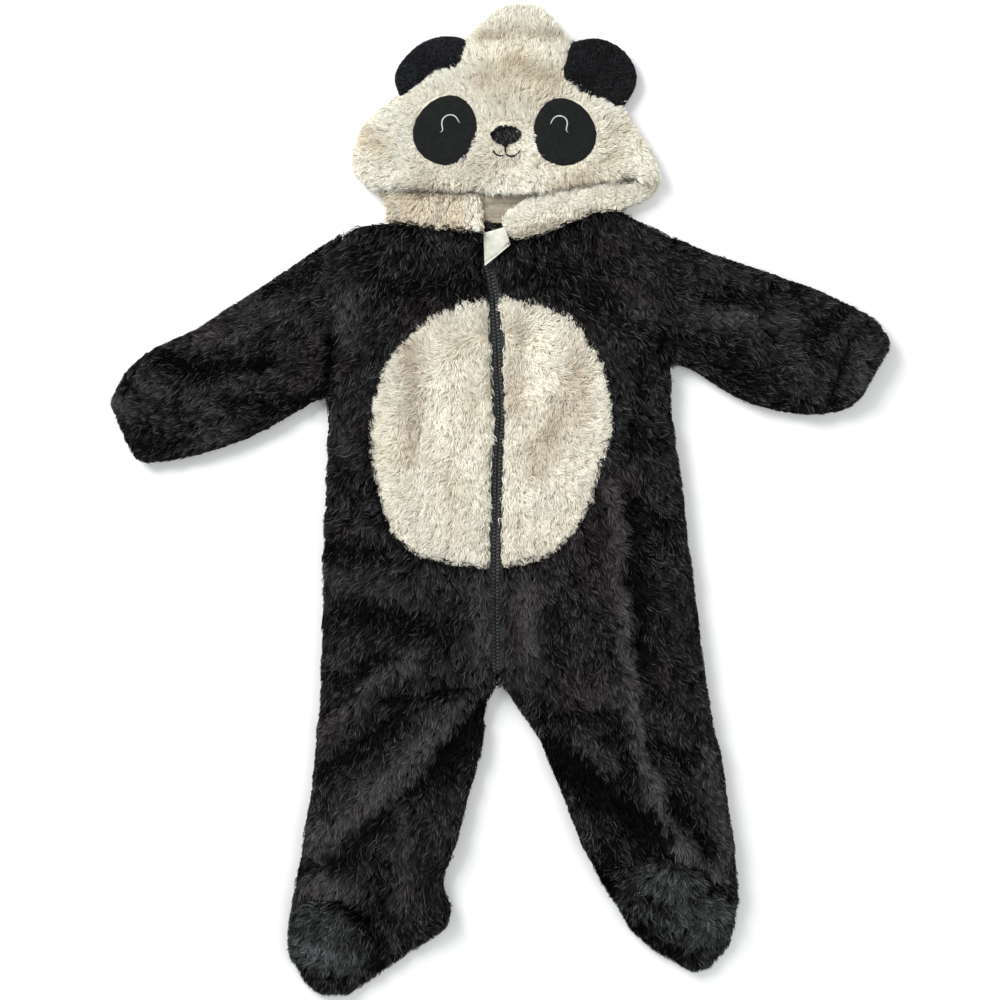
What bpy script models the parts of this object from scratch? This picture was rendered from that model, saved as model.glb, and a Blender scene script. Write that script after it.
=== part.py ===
"""Footed fleece romper with a hood, laid flat on its back with the front up.

Every cloth piece is a wall of pile fleece between an outer and an inner surface.
Sizes are millimetres, turned into metres where a mesh is made. X runs across the
garment (the wearer's left at +X), Y from the feet to the hood, Z up from the floor.
"""

import bpy
import bmesh
import numpy as np

MM = 0.001
PART_NAME = "panda_onesie"

# Driving heights and thicknesses, in millimetres.
GAP = 0.3                 # between pieces at a seam
SEAM_Z = 8.5              # height of the side seams, where front and back meet
BACK_WALL = 7.5           # fleece of the layer on the floor
RIM_WALL = 5.0            # fleece as it narrows into a side seam
ROUND = 15.0              # reach of the rounding from a side seam inwards
CROWN = 8.7               # top of the front layer over the side seams
INNER_RISE = 0.7          # inside of the front layer over the side seams
PUFF = 1.8                # how much the pile lifts away from the edges
PUFF_REACH = 25.0
INNER_FOLD_SHARE = 0.35   # how much of a fold's rise the inside follows
MAX_INNER_LIFT = 1.6      # how far a fold lifts the inside

# Where the points of a row lie: shares of the rounding at an edge, and other spacing.
EDGE_STEPS = (0, 0.08, 0.32, 0.62, 1.0)
MOST_EDGE_SHARE = 0.36    # of a row's width, for the rounding at one end
PLAIN_EDGE_STEPS = (8.0, 3.0, 0)
INSET_REACH = 30.0        # how far from a side the inner surface is drawn in
NARROW_ROW = 45.0         # rows narrower than this are spread more evenly

# Zip: centre line from the neck to the crotch (x, y).
ZIP_LINE = [(-9, 226), (-8, 197), (-5, 170), (-3, 140), (-2, 110), (0, 76), (-2, 42),
            (-3, 8), (-4, -26), (-4, -60), (-4, -102), (-3, -146), (-1, -156)]
ZIP_HALF_OPENING = 5.2    # from the centre line to the fleece on each side
CROTCH_Y = -154.0
CROTCH_HALF_OPENING = 1.2 # what the opening narrows to at the crotch
CROTCH_REACH = 12.0       # over this height
TAPE_HALF_WIDTH = 12.0
TAPE_END_Y = -137.0
TAPE_THICK = 1.0

# Belly: an oval let into both fronts.
BELLY_CENTRE = (-7.0, 58.0)
BELLY_RADII = (103.3, 113.5)
BELLY_ANGLES = (4, 11, 20, 31, 44, 58, 73, 89, 105, 120, 134, 147, 159, 169, 176)
BELLY_STEPS = (0, 0.06, 0.14, 0.36, 0.62, 0.84, 0.94, 1.0)
SEAM_DIP = 2.2            # how deep the pile dips at an inset seam
SEAM_DIP_REACH = 4.5
ZIP_DIP = 1.4             # how much deeper the dip is beside the zip

# Body and legs. Armhole lines are straight, from the shoulder to the armpit (x, y).
SHOULDER = {"right": (-133, 227), "left": (143.5, 225)}
SHOULDER_BOW = {"right": (-120, 234.5), "left": (129, 233)}
ARMPIT = {"right": (-146, 88), "left": (146, 117)}
NECK_SIDE = {"right": (-95, 236), "left": (101, 246)}
SIDE_SEAM = {
    "right": [(-146, 88), (-146, 60), (-147, 17), (-149, -17), (-150, -51), (-150, -85),
              (-151, -119), (-152, -153)],
    "left": [(146, 117), (145, 90), (147, 60), (154, 17), (158, -17), (162, -51), (167, -85),
             (171, -119), (175, -153)],
}
FRONT_NECK = {
    "right": [(-95, 236), (-72, 233), (-51, 231), (-26, 229), (-14, 225)],
    "left": [(101, 246), (85, 245), (65, 237), (49, 230), (35, 224), (22, 220), (4, 220),
             (-3, 222)],
}
BACK_NECK = {
    "right": [(-95, 236), (-51, 235), (0, 235)],
    "left": [(101, 246), (51, 238), (0, 235)],
}
NECK_POINTS = 7           # along each half of the neck, shared by the hood's pieces
# Heights of the rows across the body, besides those that the belly's oval and the neck set.
FRONT_ROWS_ABOVE_BELLY = (212, 200, 186, 174)
FRONT_ROWS_BELOW_BELLY = (-62, -86, -112, -140)
BACK_ROWS_BELOW_ARM = (-137, -96, -45, 5, 50, 85)
BACK_ROWS_BESIDE_ARM = (150, 185, 208)
FRONT_LEG_ROWS = 13
BACK_LEG_ROWS = 11
# One row down the leg: outer edge x, y, inner edge x, y.
LEG_ROWS = {
    "right": [(-152, -153, -2, -154), (-153, -174, -12, -173), (-155, -191, -12, -190),
              (-157, -208, -14, -207), (-158, -225, -18, -224), (-162, -259, -28, -258),
              (-168, -293, -36, -291), (-171, -310, -42, -306), (-174, -327, -48, -323),
              (-177, -340, -47, -332), (-178, -350, -40, -344)],
    "left": [(175, -153, 1, -154), (179, -174, 13.5, -174), (182, -191, 25, -189),
             (186, -208, 33, -204), (190, -225, 39.5, -219), (194, -259, 53, -252),
             (199, -293, 65, -284), (201, -310, 73, -301), (202, -323, 81, -314)],
}
# Where the front of the leg meets the upper of the foot, outer to inner (x, y).
ANKLE = {
    "right": [(-178, -350), (-160, -341), (-132, -339), (-117, -345), (-107, -354), (-85, -359),
              (-60, -355), (-40, -344)],
    "left": [(202, -323), (183, -316), (165, -311), (147, -306), (125, -306), (108, -311),
             (81, -314)],
}

# Feet. One row from ankle to toe: sole edge x, y and upper's seam x, y on the outer side,
# then the seam and the edge on the inner side.
FOOT_ROWS = {
    "right": [(-178, -350.4, -176, -350.3, -42, -344.5, -40, -344.4),
              (-180, -363, -175, -362, -52, -360, -46, -364),
              (-181, -376, -176, -374, -66, -367, -57, -373),
              (-179, -388, -174, -384, -86, -374, -72, -382),
              (-174, -397, -170, -390, -101, -381, -86, -392),
              (-171, -402, -164, -395, -111, -387, -97, -400),
              (-168, -409, -158, -399, -119, -394, -108, -408),
              (-163, -416, -150, -402, -130, -401, -118, -416)],
    "left": [(202, -323.4, 200, -323.3, 83, -314.6, 81, -314.4),
             (202, -337, 198, -336, 97, -331, 91, -332),
             (201, -350, 196, -349, 108, -346, 101, -348),
             (201, -362, 194, -359, 117, -356, 109, -364),
             (197, -375, 189, -366, 129, -364, 121, -376),
             (190, -387, 181, -371, 142, -370, 135, -387),
             (182, -396, 172, -374.5, 155, -374, 149, -394)],
}
TOE_EDGE = {"right": (-147, -423, -132, -423), "left": (174, -401, 160, -401)}
FOOT_CROWN = 11.0
SOLE_EDGE_Z = 4.0
SOLE_ROUND = 8.0
SOLE_STEPS = (0.36, 0.64) # shares across the sole between its seams

# Sleeves. One row from armhole to cuff: upper edge x, y, lower edge x, y.
SLEEVE_ROWS = {
    "right": [(-133, 227, -146, 88), (-149, 218, -160, 82), (-165, 207, -180, 70),
              (-184, 194, -202, 57), (-205, 180, -226, 47), (-230, 164, -248, 40),
              (-257, 146, -266, 36), (-280, 136, -280, 33), (-299, 126, -291, 31),
              (-315, 113, -300, 31), (-324, 100, -308, 34), (-331, 85, -313, 41)],
    "left": [(143.5, 225, 146, 117), (158, 219, 157, 113), (175, 212, 174, 103),
             (200, 203, 195, 89), (224, 195, 214, 81), (248, 187, 231, 76), (272, 178, 248, 73),
             (294, 168, 265, 72), (311, 158, 281, 73), (324, 149, 293, 76), (332, 133, 304, 84)],
}
CUFF_LINE = 0.86          # where the cuff's elastic lies, as a share of the sleeve's length
CUFF_PULL = 2.6           # how deep the elastic pulls the sleeve in
CUFF_PULL_WIDTH = 0.07    # of the sleeve's length
GATHERS_LINE = 0.94       # where the gathers are deepest
GATHERS_WIDTH = 0.12
CUFF_PLEATS = 5           # gathers across the top of a cuff
CUFF_PLEAT_DEPTH = 1.1

# Hood. One row from neck to peak: right edge x, y, left edge x, y.
HOOD_ROWS = [(-95, 236, 101, 246), (-98, 250, 120, 252), (-100, 259, 131, 259),
             (-114, 265, 137, 270), (-125, 277, 136, 280), (-127, 289, 130, 295),
             (-123, 303, 122, 306), (-118, 316, 116, 316), (-105, 331, 107, 331),
             (-88, 343, 90, 342), (-69, 358, 73, 353), (-50, 373, 62, 368), (-31, 389, 60, 382),
             (-20, 402, 54, 399), (-8, 413, 43, 411), (7, 421, 34, 421)]
FACE_FIRST_ROW = 3        # the row of the hood where its upper layer begins
FACE_HEM = [(-114, 265), (-95, 262), (-64, 264), (-33, 264), (-3, 263), (25, 261), (57, 266),
            (94, 271), (117, 273), (137, 270)]
HEM_SEAT_Z = 15.0         # inside of the face layer where it lies over the hood's sides
HEM_REACH = 17.0          # how far up the hood the hem's step fades
HEM_FADE = 7.0
HEM_TOP_SHARE = 0.85      # how much of that step shows outside
PEAK_ROW_SHARE = 0.7      # an added row near the peak, between the last two
# Right side of the hood: right edge x, y, left edge x, y, from the neck up.
HOOD_SIDE_ROWS = [(-95, 236.4, -17, 229), (-98, 248, -17, 242), (-99, 257, -18, 254),
                  (-94, 264, -20, 263), (-86, 270, -22, 269)]
# Rolled left side of the hood: its upper edge from the mouth outwards, and the part of its
# lower edge that lies past the neck (x, y).
ROLL_UPPER_EDGE = [(3, 233), (5, 243), (14, 250), (25, 257), (38, 265), (54, 271), (78, 275),
                   (98, 277), (113, 275), (126, 268)]
ROLL_OUTER_EDGE = [(114, 249.5), (122, 253), (130, 259)]
SIDE_CREST = 6.5          # the hood's sides over their inside
TUCK_DROP = 1.3           # how much they flatten under the face layer
TUCK_REACH = 6.0
TUCK_Y = 262.0            # the right side is under the face layer from here up
ROLL_ROUND = 9.0          # reach of the rounding of the rolled side
ROLL_EDGE_SHARE = 0.12    # of its crest, at its edges
ROLL_LEAST_WALL = 1.2
ROLL_STEPS = (0, 0.12, 0.34, 0.58, 0.78, 0.9, 0.97, 1.0)
LINING_X = (-30, -18, -13, -8, -3, 2, 14, 36)
LINING_Y = (235.6, 242, 249, 256, 262, 267, 272)
LINING_THICK = 1.0
LINING_LIFT = 2.8         # how far it rises in the mouth of the hood
MOUTH_X = -8.0
MOUTH_HALF_WIDTH = 10.0

# Ears: the stretch of the hood's edge that holds each (y from and to), and its rim (x, y).
EAR_STRETCH = {"right": (391, 345), "left": (389, 334)}
EAR_RIM = {
    "right": [(-31, 394), (-44, 396), (-65, 391), (-81, 378), (-91, 361), (-88, 346)],
    "left": [(64, 391), (84, 394), (104, 385), (116, 369), (117, 352), (107, 335)],
}
EAR_MID_Z = 7.0
EAR_HALF_THICK = 7.0
EAR_ROUND = 12.0
EAR_CLEARANCE = 0.8
EAR_STEPS = (0, 0.05, 0.18, 0.36, 0.6, 0.8, 0.93, 1.0)
EAR_POINTS = 13           # round the rim, and along the hood's edge
EAR_TOP_SWELL = 1.05      # of the half thickness
EAR_UNDER_SWELL = 1.15

# Applique on the hood's face: centre x, y, half width, half height, turn in degrees.
EYE_PATCH = {"right": (-45.5, 313.5, 27.0, 30.0, -20.0), "left": (54.0, 312.0, 26.5, 29.0, 16.0)}
NOSE = (4.5, 310.5, 13.0, 8.0, 0.0)
EYE_NARROWING = 0.12      # how much narrower a patch is towards its upper, inner end
PATCH_THICK = 1.6
PATCH_EDGE_DROP = 0.5
PATCH_POINTS = 20         # round a patch

# Guard over the zip's top end (x, y), corners in turn.
GUARD_CORNERS = [(-14, 226), (4, 231), (9, 216), (-13, 198)]
GUARD_LIFT = 0.6          # over the fleece and the pull
GUARD_THICK = 2.0
SLIDER_SIZE = (8.5, 12.0, 5.0)
SLIDER_Y = 214.0
PULL_SIZE = (4.5, 20.0, 1.5)
PULL_SET_DOWN = 4.0       # how far the pull's middle lies below the slider's
SLIDER_BEVEL = 1.2
PULL_BEVEL = 0.5

# Folds in the front layer: x, y of each end, rise, half width.
BODY_FOLDS = [
    (-14, -185, -46, -262, -4.5, 11),      # slack along the inside of the right leg
    (-17, -163, -144, -221, 2.4, 13),      # drag lines across the right thigh
    (-24, -194, -156, -276, 2.2, 12),
    (-60, -300, -165, -320, -2.4, 9),
    (-125, -110, -140, -250, 1.6, 14),
    (93, 34, 106, -119, 2.4, 13),          # long fold down the left side
    (106, -119, 132, -255, 3.2, 13),
    (132, -255, 161, -315, 3.0, 12),
    (112, -40, 124, -150, -2.6, 8),
    (124, -150, 152, -262, -3.4, 9),
    (51, -232, 118, -312, -4.2, 10),       # trough across the left shin
    (60, -180, 96, -226, 2.4, 12),
    (-136, 96, -108, 62, -2.6, 9),         # under the arms
    (138, 118, 118, 84, -2.6, 9),
    (-120, 205, -62, 190, -1.8, 10),       # from the shoulders
    (128, 202, 70, 196, -1.8, 10),
    (-122, -66, -34, -96, -1.4, 14),
    (30, -96, 96, -70, -1.4, 14),
]
SLEEVE_FOLDS = {
    "right": [(-150, 128, -196, 92, -3.4, 10), (-176, 178, -236, 128, -2.6, 10),
              (-196, 118, -262, 66, 2.2, 11), (-232, 138, -286, 102, 2.0, 10)],
    "left": [(152, 150, 190, 118, -3.2, 10), (182, 186, 240, 158, -2.6, 10),
             (196, 132, 252, 104, 2.2, 11), (236, 160, 290, 130, 2.0, 10)],
}
HOOD_FOLDS = [(-26, 376, 34, 384, 1.4, 8), (16, 392, 36, 408, -1.6, 8),
              (-104, 306, -108, 290, 1.3, 8)]

COLOURS = {               # base colour, roughness, metallic
    "black_fleece": ((0.012, 0.012, 0.014), 0.9, 0.0),
    "cream_fleece": ((0.72, 0.65, 0.53), 0.9, 0.0),
    "ear_plush": ((0.010, 0.010, 0.011), 0.85, 0.0),
    "patch_plush": ((0.016, 0.018, 0.018), 0.8, 0.0),
    "beige_lining": ((0.56, 0.45, 0.37), 0.8, 0.0),
    "zip_tape": ((0.030, 0.034, 0.034), 0.75, 0.0),
    "dark_metal": ((0.06, 0.06, 0.065), 0.35, 1.0),
    "white_cotton": ((0.80, 0.79, 0.74), 0.8, 0.0),
}


def smooth_line(points, count=121):
    """Even samples of the smooth (Catmull-Rom) line through rows of numbers."""
    points = np.asarray(points, float)
    padded = np.vstack([2 * points[0] - points[1], points, 2 * points[-1] - points[-2]])
    place = np.linspace(0, len(points) - 1 - 1e-9, count)
    index = place.astype(int)
    t = (place - index)[:, None]
    a, b, c, d = (padded[index + k] for k in range(4))
    return 0.5 * (2 * b + (c - a) * t + (2 * a - 5 * b + 4 * c - d) * t**2
                  + (3 * b - 3 * c + d - a) * t**3)


def at_share(line, share):
    """Points at given shares (0 to 1) of a line's length."""
    line = np.asarray(line, float)
    step = np.linalg.norm(np.diff(line[:, :2], axis=0), axis=1)
    length = np.concatenate([[0], np.cumsum(step)]) / step.sum()
    return np.stack([np.interp(share, length, line[:, k]) for k in range(line.shape[1])], axis=-1)


def distance_to(xy, lines):
    """Distance of each point (..., 2) from the nearest of some lines."""
    nearest = np.full(xy.shape[:-1], 1e3)
    for line in lines:
        line = np.asarray(line, float)
        start, run = line[:-1], np.diff(line, axis=0)
        offset = xy[..., None, :] - start
        share = (offset * run).sum(-1) / np.maximum((run * run).sum(-1), 1e-9)
        gap = offset - np.clip(share, 0, 1)[..., None] * run
        nearest = np.minimum(nearest, np.linalg.norm(gap, axis=-1).min(-1))
    return nearest


def quarter_round(distance, reach):
    """A quarter circle from 0 at an edge to 1 at `reach` from it."""
    share = np.clip(distance / reach, 0, 1)
    return np.sqrt(1 - (1 - share) ** 2)


def fold_relief(xy, folds):
    """Rise of the cloth: each fold is a soft ridge or trough that fades at its ends."""
    rise = np.zeros(xy.shape[:-1])
    for x0, y0, x1, y1, height, half_width in folds:
        start, run = np.array([x0, y0], float), np.array([x1 - x0, y1 - y0], float)
        share = ((xy - start) @ run) / (run @ run)
        across = np.linalg.norm(xy - start - np.clip(share, 0, 1)[..., None] * run, axis=-1)
        rise += height * np.exp(-((across / half_width) ** 2))
    return rise


def columns(width, spare, second_round=True):
    """Shares across a row: close steps over each rounded edge, `spare` even ones between."""
    steps = np.array(EDGE_STEPS) * min(ROUND, MOST_EDGE_SHARE * width) / width
    last = 1 - (steps[::-1] if second_round else np.array(PLAIN_EDGE_STEPS) / width)
    shares = np.concatenate([steps, np.linspace(steps[-1], last[0], spare + 2)[1:-1], last])
    return evened(shares, width)


def evened(shares, width):
    """Shares across a row, drawn towards even ones where the row is narrow."""
    even = np.clip((NARROW_ROW - width) / NARROW_ROW, 0, 1) ** 0.5
    return (1 - even) * shares + even * np.linspace(0, 1, len(shares))


def row_grid(rows, shares):
    """Grid of plan points: each row runs straight from its first to its second end."""
    rows = np.asarray(rows, float)
    shares = np.asarray(shares)
    return rows[:, None, :2] + shares[..., None] * (rows[:, 2:] - rows[:, :2])[:, None, :]


def bend_end(grid, end_row, last=True, fade=4):
    """Moves the end row of a grid onto given points, and the rows before it less and less."""
    grid = grid if last else grid[::-1]
    bow = end_row - grid[-1]
    for back in range(fade):
        grid[-1 - back] += bow * (1 - back / fade) ** 2
    return grid if last else grid[::-1]


def spread_on(line, row):
    """Points on a line, spread along it as a row of points is spread along itself."""
    step = np.linalg.norm(np.diff(row, axis=0), axis=-1)
    return at_share(line, np.concatenate([[0], np.cumsum(step)]) / step.sum())


def inset(grid, first=0.0, second=0.0, start=0.0, end=0.0, fade=6):
    """The inner plan: a grid drawn in from its rounded sides by the wall's thickness.

    first and second are the insets of a row's ends, one number or one for each row;
    start and end those of the first and last row, one number or one for each column,
    which the rows beside them follow less and less, by the power fade.
    """
    across = grid[:, -1] - grid[:, 0]
    across /= np.maximum(np.linalg.norm(across, axis=-1, keepdims=True), 1e-6)
    place = np.linalg.norm(np.diff(grid, axis=1, prepend=grid[:, :1]), axis=-1).cumsum(axis=1)
    reach = np.clip(place[:, -1:] / 2, 1e-6, INSET_REACH)
    near_first = np.clip(1 - place / reach, 0, 1)
    near_second = np.clip(1 - (place[:, -1:] - place) / reach, 0, 1)
    first, second = (np.broadcast_to(v, grid.shape[0])[:, None] for v in (first, second))
    inner = grid + across[:, None] * (first * near_first - second * near_second)[..., None]
    share = np.linspace(0, 1, grid.shape[0])[:, None, None]
    for amount, run, follow in ((start, grid[1] - grid[0], (1 - share) ** fade),
                                (end, grid[-2] - grid[-1], share**fade)):
        run = run / np.maximum(np.linalg.norm(run, axis=-1, keepdims=True), 1e-6)
        inner = inner + run[None] * np.broadcast_to(amount, grid.shape[1])[None, :, None] * follow
    return inner


def upper_layer(outer_xy, inner_xy, edges, folds=(), crown=CROWN, puff=PUFF, seats=None):
    """Outer and inner surface of a layer that faces up and rounds down to its seams."""
    distance = distance_to(outer_xy, edges)
    rise = crown + puff * (1 - np.exp(-distance / PUFF_REACH)) + fold_relief(outer_xy, folds)
    top = SEAM_Z + rise * quarter_round(distance, ROUND)
    lift = np.clip(INNER_FOLD_SHARE * fold_relief(inner_xy, folds), 0, MAX_INNER_LIFT)
    inner_distance = distance_to(inner_xy, edges) - RIM_WALL
    under = SEAM_Z + (INNER_RISE + lift) * quarter_round(inner_distance, ROUND - RIM_WALL)
    if seats is not None:
        top = top + seats(outer_xy)
    return np.dstack([outer_xy, top]), np.dstack([inner_xy, under])


def lower_layer(outer_xy, inner_xy, edges):
    """Outer and inner surface of a layer that rests on the floor and rounds up to its seams."""
    seam = SEAM_Z - GAP
    under = seam * (1 - quarter_round(distance_to(outer_xy, edges), ROUND))
    inner_distance = distance_to(inner_xy, edges) - RIM_WALL
    top = seam - (seam - BACK_WALL) * quarter_round(inner_distance, ROUND - RIM_WALL)
    return np.dstack([outer_xy, under]), np.dstack([inner_xy, top])


def seam_dip(distance):
    return -SEAM_DIP * np.exp(-((distance / SEAM_DIP_REACH) ** 2))


def grid_faces(rows, cols, ring, offset, flip):
    """Quads of a grid of points, closed round its columns where it is a ring."""
    index = np.arange(rows * cols).reshape(rows, cols) + offset
    across = np.roll(index, -1, axis=1) if ring else index[:, 1:]
    index = index if ring else index[:, :-1]
    quads = np.stack([index[:-1], across[:-1], across[1:], index[1:]], axis=-1).reshape(-1, 4)
    return quads[:, ::-1] if flip else quads


def wall_mesh(outer, inner, ring=False):
    """A closed wall between two grids of points, with its rims."""
    rows, cols = outer.shape[:2]
    points = np.concatenate([outer.reshape(-1, 3), inner.reshape(-1, 3)]) * MM
    faces = [grid_faces(rows, cols, ring, 0, False), grid_faces(rows, cols, ring, rows * cols, True)]
    index = np.arange(rows * cols).reshape(rows, cols)
    loop = [index[0], index[-1]]
    if ring:
        loop = [np.append(line, line[0]) for line in loop]
    else:
        loop += [index[:, 0], index[:, -1]]
    for line in loop:
        near, far = line[:-1], line[1:]
        faces.append(np.stack([near, far, far + rows * cols, near + rows * cols], axis=-1))
    return points, np.concatenate(faces)


def material(name):
    """One Principled material for each kind of cloth or metal."""
    if name in bpy.data.materials:
        return bpy.data.materials[name]
    colour, roughness, metallic = COLOURS[name]
    made = bpy.data.materials.new(name)
    made.use_nodes = True
    shader = made.node_tree.nodes["Principled BSDF"]
    shader.inputs["Base Color"].default_value = (*colour, 1)
    shader.inputs["Roughness"].default_value = roughness
    shader.inputs["Metallic"].default_value = metallic
    made.diffuse_color = (*colour, 1)
    return made


def add_piece(name, points, faces, material_name):
    """Makes a node from points and faces: merged, facing outwards and shaded smooth."""
    mesh = bpy.data.meshes.new(name)
    mesh.from_pydata(points.tolist(), [], faces.tolist())
    work = bmesh.new()
    work.from_mesh(mesh)
    bmesh.ops.remove_doubles(work, verts=work.verts, dist=0.02 * MM)
    bmesh.ops.dissolve_degenerate(work, edges=work.edges, dist=0.005 * MM)
    bmesh.ops.triangulate(work, faces=[face for face in work.faces if len(face.verts) > 3])
    bmesh.ops.recalc_face_normals(work, faces=work.faces)
    work.to_mesh(mesh)
    work.free()
    mesh.shade_smooth()
    mesh.set_sharp_from_angle(angle=np.radians(50))
    mesh.materials.append(material(material_name))
    piece = bpy.data.objects.new(name, mesh)
    bpy.data.collections[PART_NAME].objects.link(piece)
    return piece


def mirror_sign(side):
    return -1 if side == "right" else 1


def zip_x(y):
    """The zip's centre line as x at a height y."""
    line = smooth_line(ZIP_LINE)[::-1]
    return np.interp(y, line[:, 1], line[:, 0])


def side_x(side, y):
    """The body's side as x: straight along the armhole, the side seam's line below it."""
    seam = smooth_line(SIDE_SEAM[side])[::-1]
    line = np.vstack([seam, SHOULDER[side]])
    return np.interp(y, line[:, 1], line[:, 0])


def front_edge_x(side, y, grow=0.5 * GAP):
    """The front's inner edge as x: beside the zip, or round the belly's oval."""
    sign = mirror_sign(side)
    half_opening = np.interp(y, [CROTCH_Y, CROTCH_Y + CROTCH_REACH],
                             [CROTCH_HALF_OPENING, ZIP_HALF_OPENING])
    beside_zip = zip_x(y) + sign * half_opening
    (cx, cy), (a, b) = BELLY_CENTRE, BELLY_RADII
    height = np.clip(1 - ((y - cy) / (b + grow)) ** 2, 0, None)
    oval = cx + sign * (a + grow) * np.sqrt(height)
    oval = np.where(height > 0, oval, beside_zip)
    return np.maximum(beside_zip, oval) if sign > 0 else np.minimum(beside_zip, oval)


def front_dips(xy):
    """Dips of the pile along the belly's seam and where the front turns under at the zip."""
    angle = np.radians(np.linspace(0, 360, 91))
    (cx, cy), (a, b) = BELLY_CENTRE, BELLY_RADII
    oval = np.stack([cx + a * np.sin(angle), cy + b * np.cos(angle)], axis=-1)
    beside_zip = np.maximum(np.abs(xy[..., 0] - zip_x(xy[..., 1])) - ZIP_HALF_OPENING, 0)
    at_zip = np.where(xy[..., 1] > CROTCH_Y + 5, ZIP_DIP * seam_dip(beside_zip), 0)
    return np.minimum(seam_dip(distance_to(xy, [oval])), at_zip)


def outline(side):
    """The rounded edges of a body half: shoulder, side seam with the leg, and inner leg."""
    leg = smooth_line(LEG_ROWS[side])
    seam = np.vstack([smooth_line(SIDE_SEAM[side]), leg[:, :2]])
    shoulder = np.array([NECK_SIDE[side], SHOULDER_BOW[side], SHOULDER[side]], float)
    return [shoulder, seam, leg[:, 2:]]


def leg_and_body_rows(side, leg_count, body_heights, inner_edge):
    """Rows from ankle to neck: outer edge x, y, inner edge x, y."""
    leg = smooth_line(LEG_ROWS[side], leg_count)[::-1]
    outer = side_x(side, body_heights)
    body = np.stack([outer, body_heights, inner_edge(body_heights), body_heights], axis=-1)
    return np.vstack([leg, body])


def body_insets(rows, side, leg_count):
    """Insets of the wall along a body half: on its seams, none along the armhole or zip."""
    height = rows[:, 1]
    armpit = ARMPIT[side][1]
    outer = np.interp(height, [armpit - 4, armpit + 10], [RIM_WALL, 0.0])
    inner = np.where(np.arange(len(rows)) < leg_count - 1, RIM_WALL, 0.0)
    return outer, inner


def shoulder_inset(grid, side):
    """Inset of the top row: on the shoulder's seam, none along the neck."""
    from_neck = mirror_sign(side) * (grid[-1, :, 0] - NECK_SIDE[side][0])
    return np.interp(from_neck, [-2, 8], [0.0, RIM_WALL])


def top_row(side, neck_line):
    """Points along the top of a body half: its shoulder's seam, then its neck."""
    shoulder, bow = np.array(SHOULDER[side], float), np.array(SHOULDER_BOW[side], float)
    seam = shoulder + np.array(EDGE_STEPS)[:, None] * (bow - shoulder)
    return np.vstack([seam, at_share(smooth_line(neck_line), np.linspace(0, 1, NECK_POINTS))])


def front_neck(side):
    return top_row(side, FRONT_NECK[side])


def back_neck(side):
    row = top_row(side, BACK_NECK[side])
    row[-1, 0] = mirror_sign(side) * 0.5 * GAP
    return row


def ankle_row(side):
    """Points across the ankle, where the front of the leg meets the foot's upper."""
    outer_x, outer_y, inner_x, inner_y = LEG_ROWS[side][-1]
    width = np.hypot(inner_x - outer_x, inner_y - outer_y)
    straight = row_grid([LEG_ROWS[side][-1]], [columns(width, 2)])[0]
    return spread_on(smooth_line(ANKLE[side]), straight)


def make_front(side):
    """Front of the body and leg, cut round the belly and along the zip."""
    leg_count = FRONT_LEG_ROWS
    (_, cy), (_, b) = BELLY_CENTRE, BELLY_RADII
    oval_heights = cy + (b + 0.5 * GAP) * np.cos(np.radians(BELLY_ANGLES))
    above = (FRONT_NECK[side][-1][1], *FRONT_ROWS_ABOVE_BELLY)
    heights = np.concatenate([above, oval_heights, FRONT_ROWS_BELOW_BELLY])[::-1]
    rows = leg_and_body_rows(side, leg_count, heights, lambda y: front_edge_x(side, y))
    rows[-1, :2] = SHOULDER[side]
    shares = [columns(np.linalg.norm(row[2:] - row[:2]), 2) for row in rows]
    plan = row_grid(rows, shares)
    plan = bend_end(plan, front_neck(side), fade=6)
    plan = bend_end(plan, ankle_row(side), last=False, fade=5)
    outer_in, inner_in = body_insets(rows, side, leg_count)
    inner_plan = inset(plan, outer_in, inner_in, end=shoulder_inset(plan, side))
    surfaces = upper_layer(plan, inner_plan, outline(side), BODY_FOLDS, seats=front_dips)
    return add_piece(f"front_{side}", *wall_mesh(*surfaces), "black_fleece")


def make_belly(side):
    """Half of the belly's oval, from the zip to the seam in the front."""
    sign = mirror_sign(side)
    (cx, cy), (a, b) = BELLY_CENTRE, BELLY_RADII
    angle = np.radians(BELLY_ANGLES[::-1])
    shrink = 0.5 * GAP
    x = cx + sign * (a - shrink) * np.sin(angle)
    y = cy + (b - shrink) * np.cos(angle)
    inner_edge = zip_x(y) + sign * ZIP_HALF_OPENING
    x = np.maximum(x, inner_edge + 1) if sign > 0 else np.minimum(x, inner_edge - 1)
    shares = [evened(np.array(BELLY_STEPS), width) for width in np.abs(inner_edge - x)]
    plan = row_grid(np.stack([x, y, inner_edge, y], axis=-1), shares)
    surfaces = upper_layer(plan, plan.copy(), outline(side), BODY_FOLDS, seats=front_dips)
    return add_piece(f"belly_{side}", *wall_mesh(*surfaces), "cream_fleece")


def make_back(side):
    """Back of the body and leg, flat on the floor, with half of the centre-back seam."""
    leg_count = BACK_LEG_ROWS
    sign = mirror_sign(side)
    top = BACK_NECK[side][-1][1]
    heights = np.array([*BACK_ROWS_BELOW_ARM, ARMPIT[side][1] + 6, *BACK_ROWS_BESIDE_ARM, top])
    rows = leg_and_body_rows(side, leg_count, heights, lambda y: sign * 0.5 * GAP + 0 * y)
    rows[leg_count - 1, 2] = sign * 1.0
    rows[-1, :2] = SHOULDER[side]
    shares = [columns(np.linalg.norm(row[2:] - row[:2]), 2) for row in rows]
    plan = row_grid(rows, shares)
    plan = bend_end(plan, back_neck(side), fade=4)
    outer_in, inner_in = body_insets(rows, side, leg_count)
    inner_plan = inset(plan, outer_in, inner_in, end=shoulder_inset(plan, side))
    surfaces = lower_layer(plan, inner_plan, outline(side))
    return add_piece(f"back_{side}", *wall_mesh(*surfaces), "black_fleece")


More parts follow.
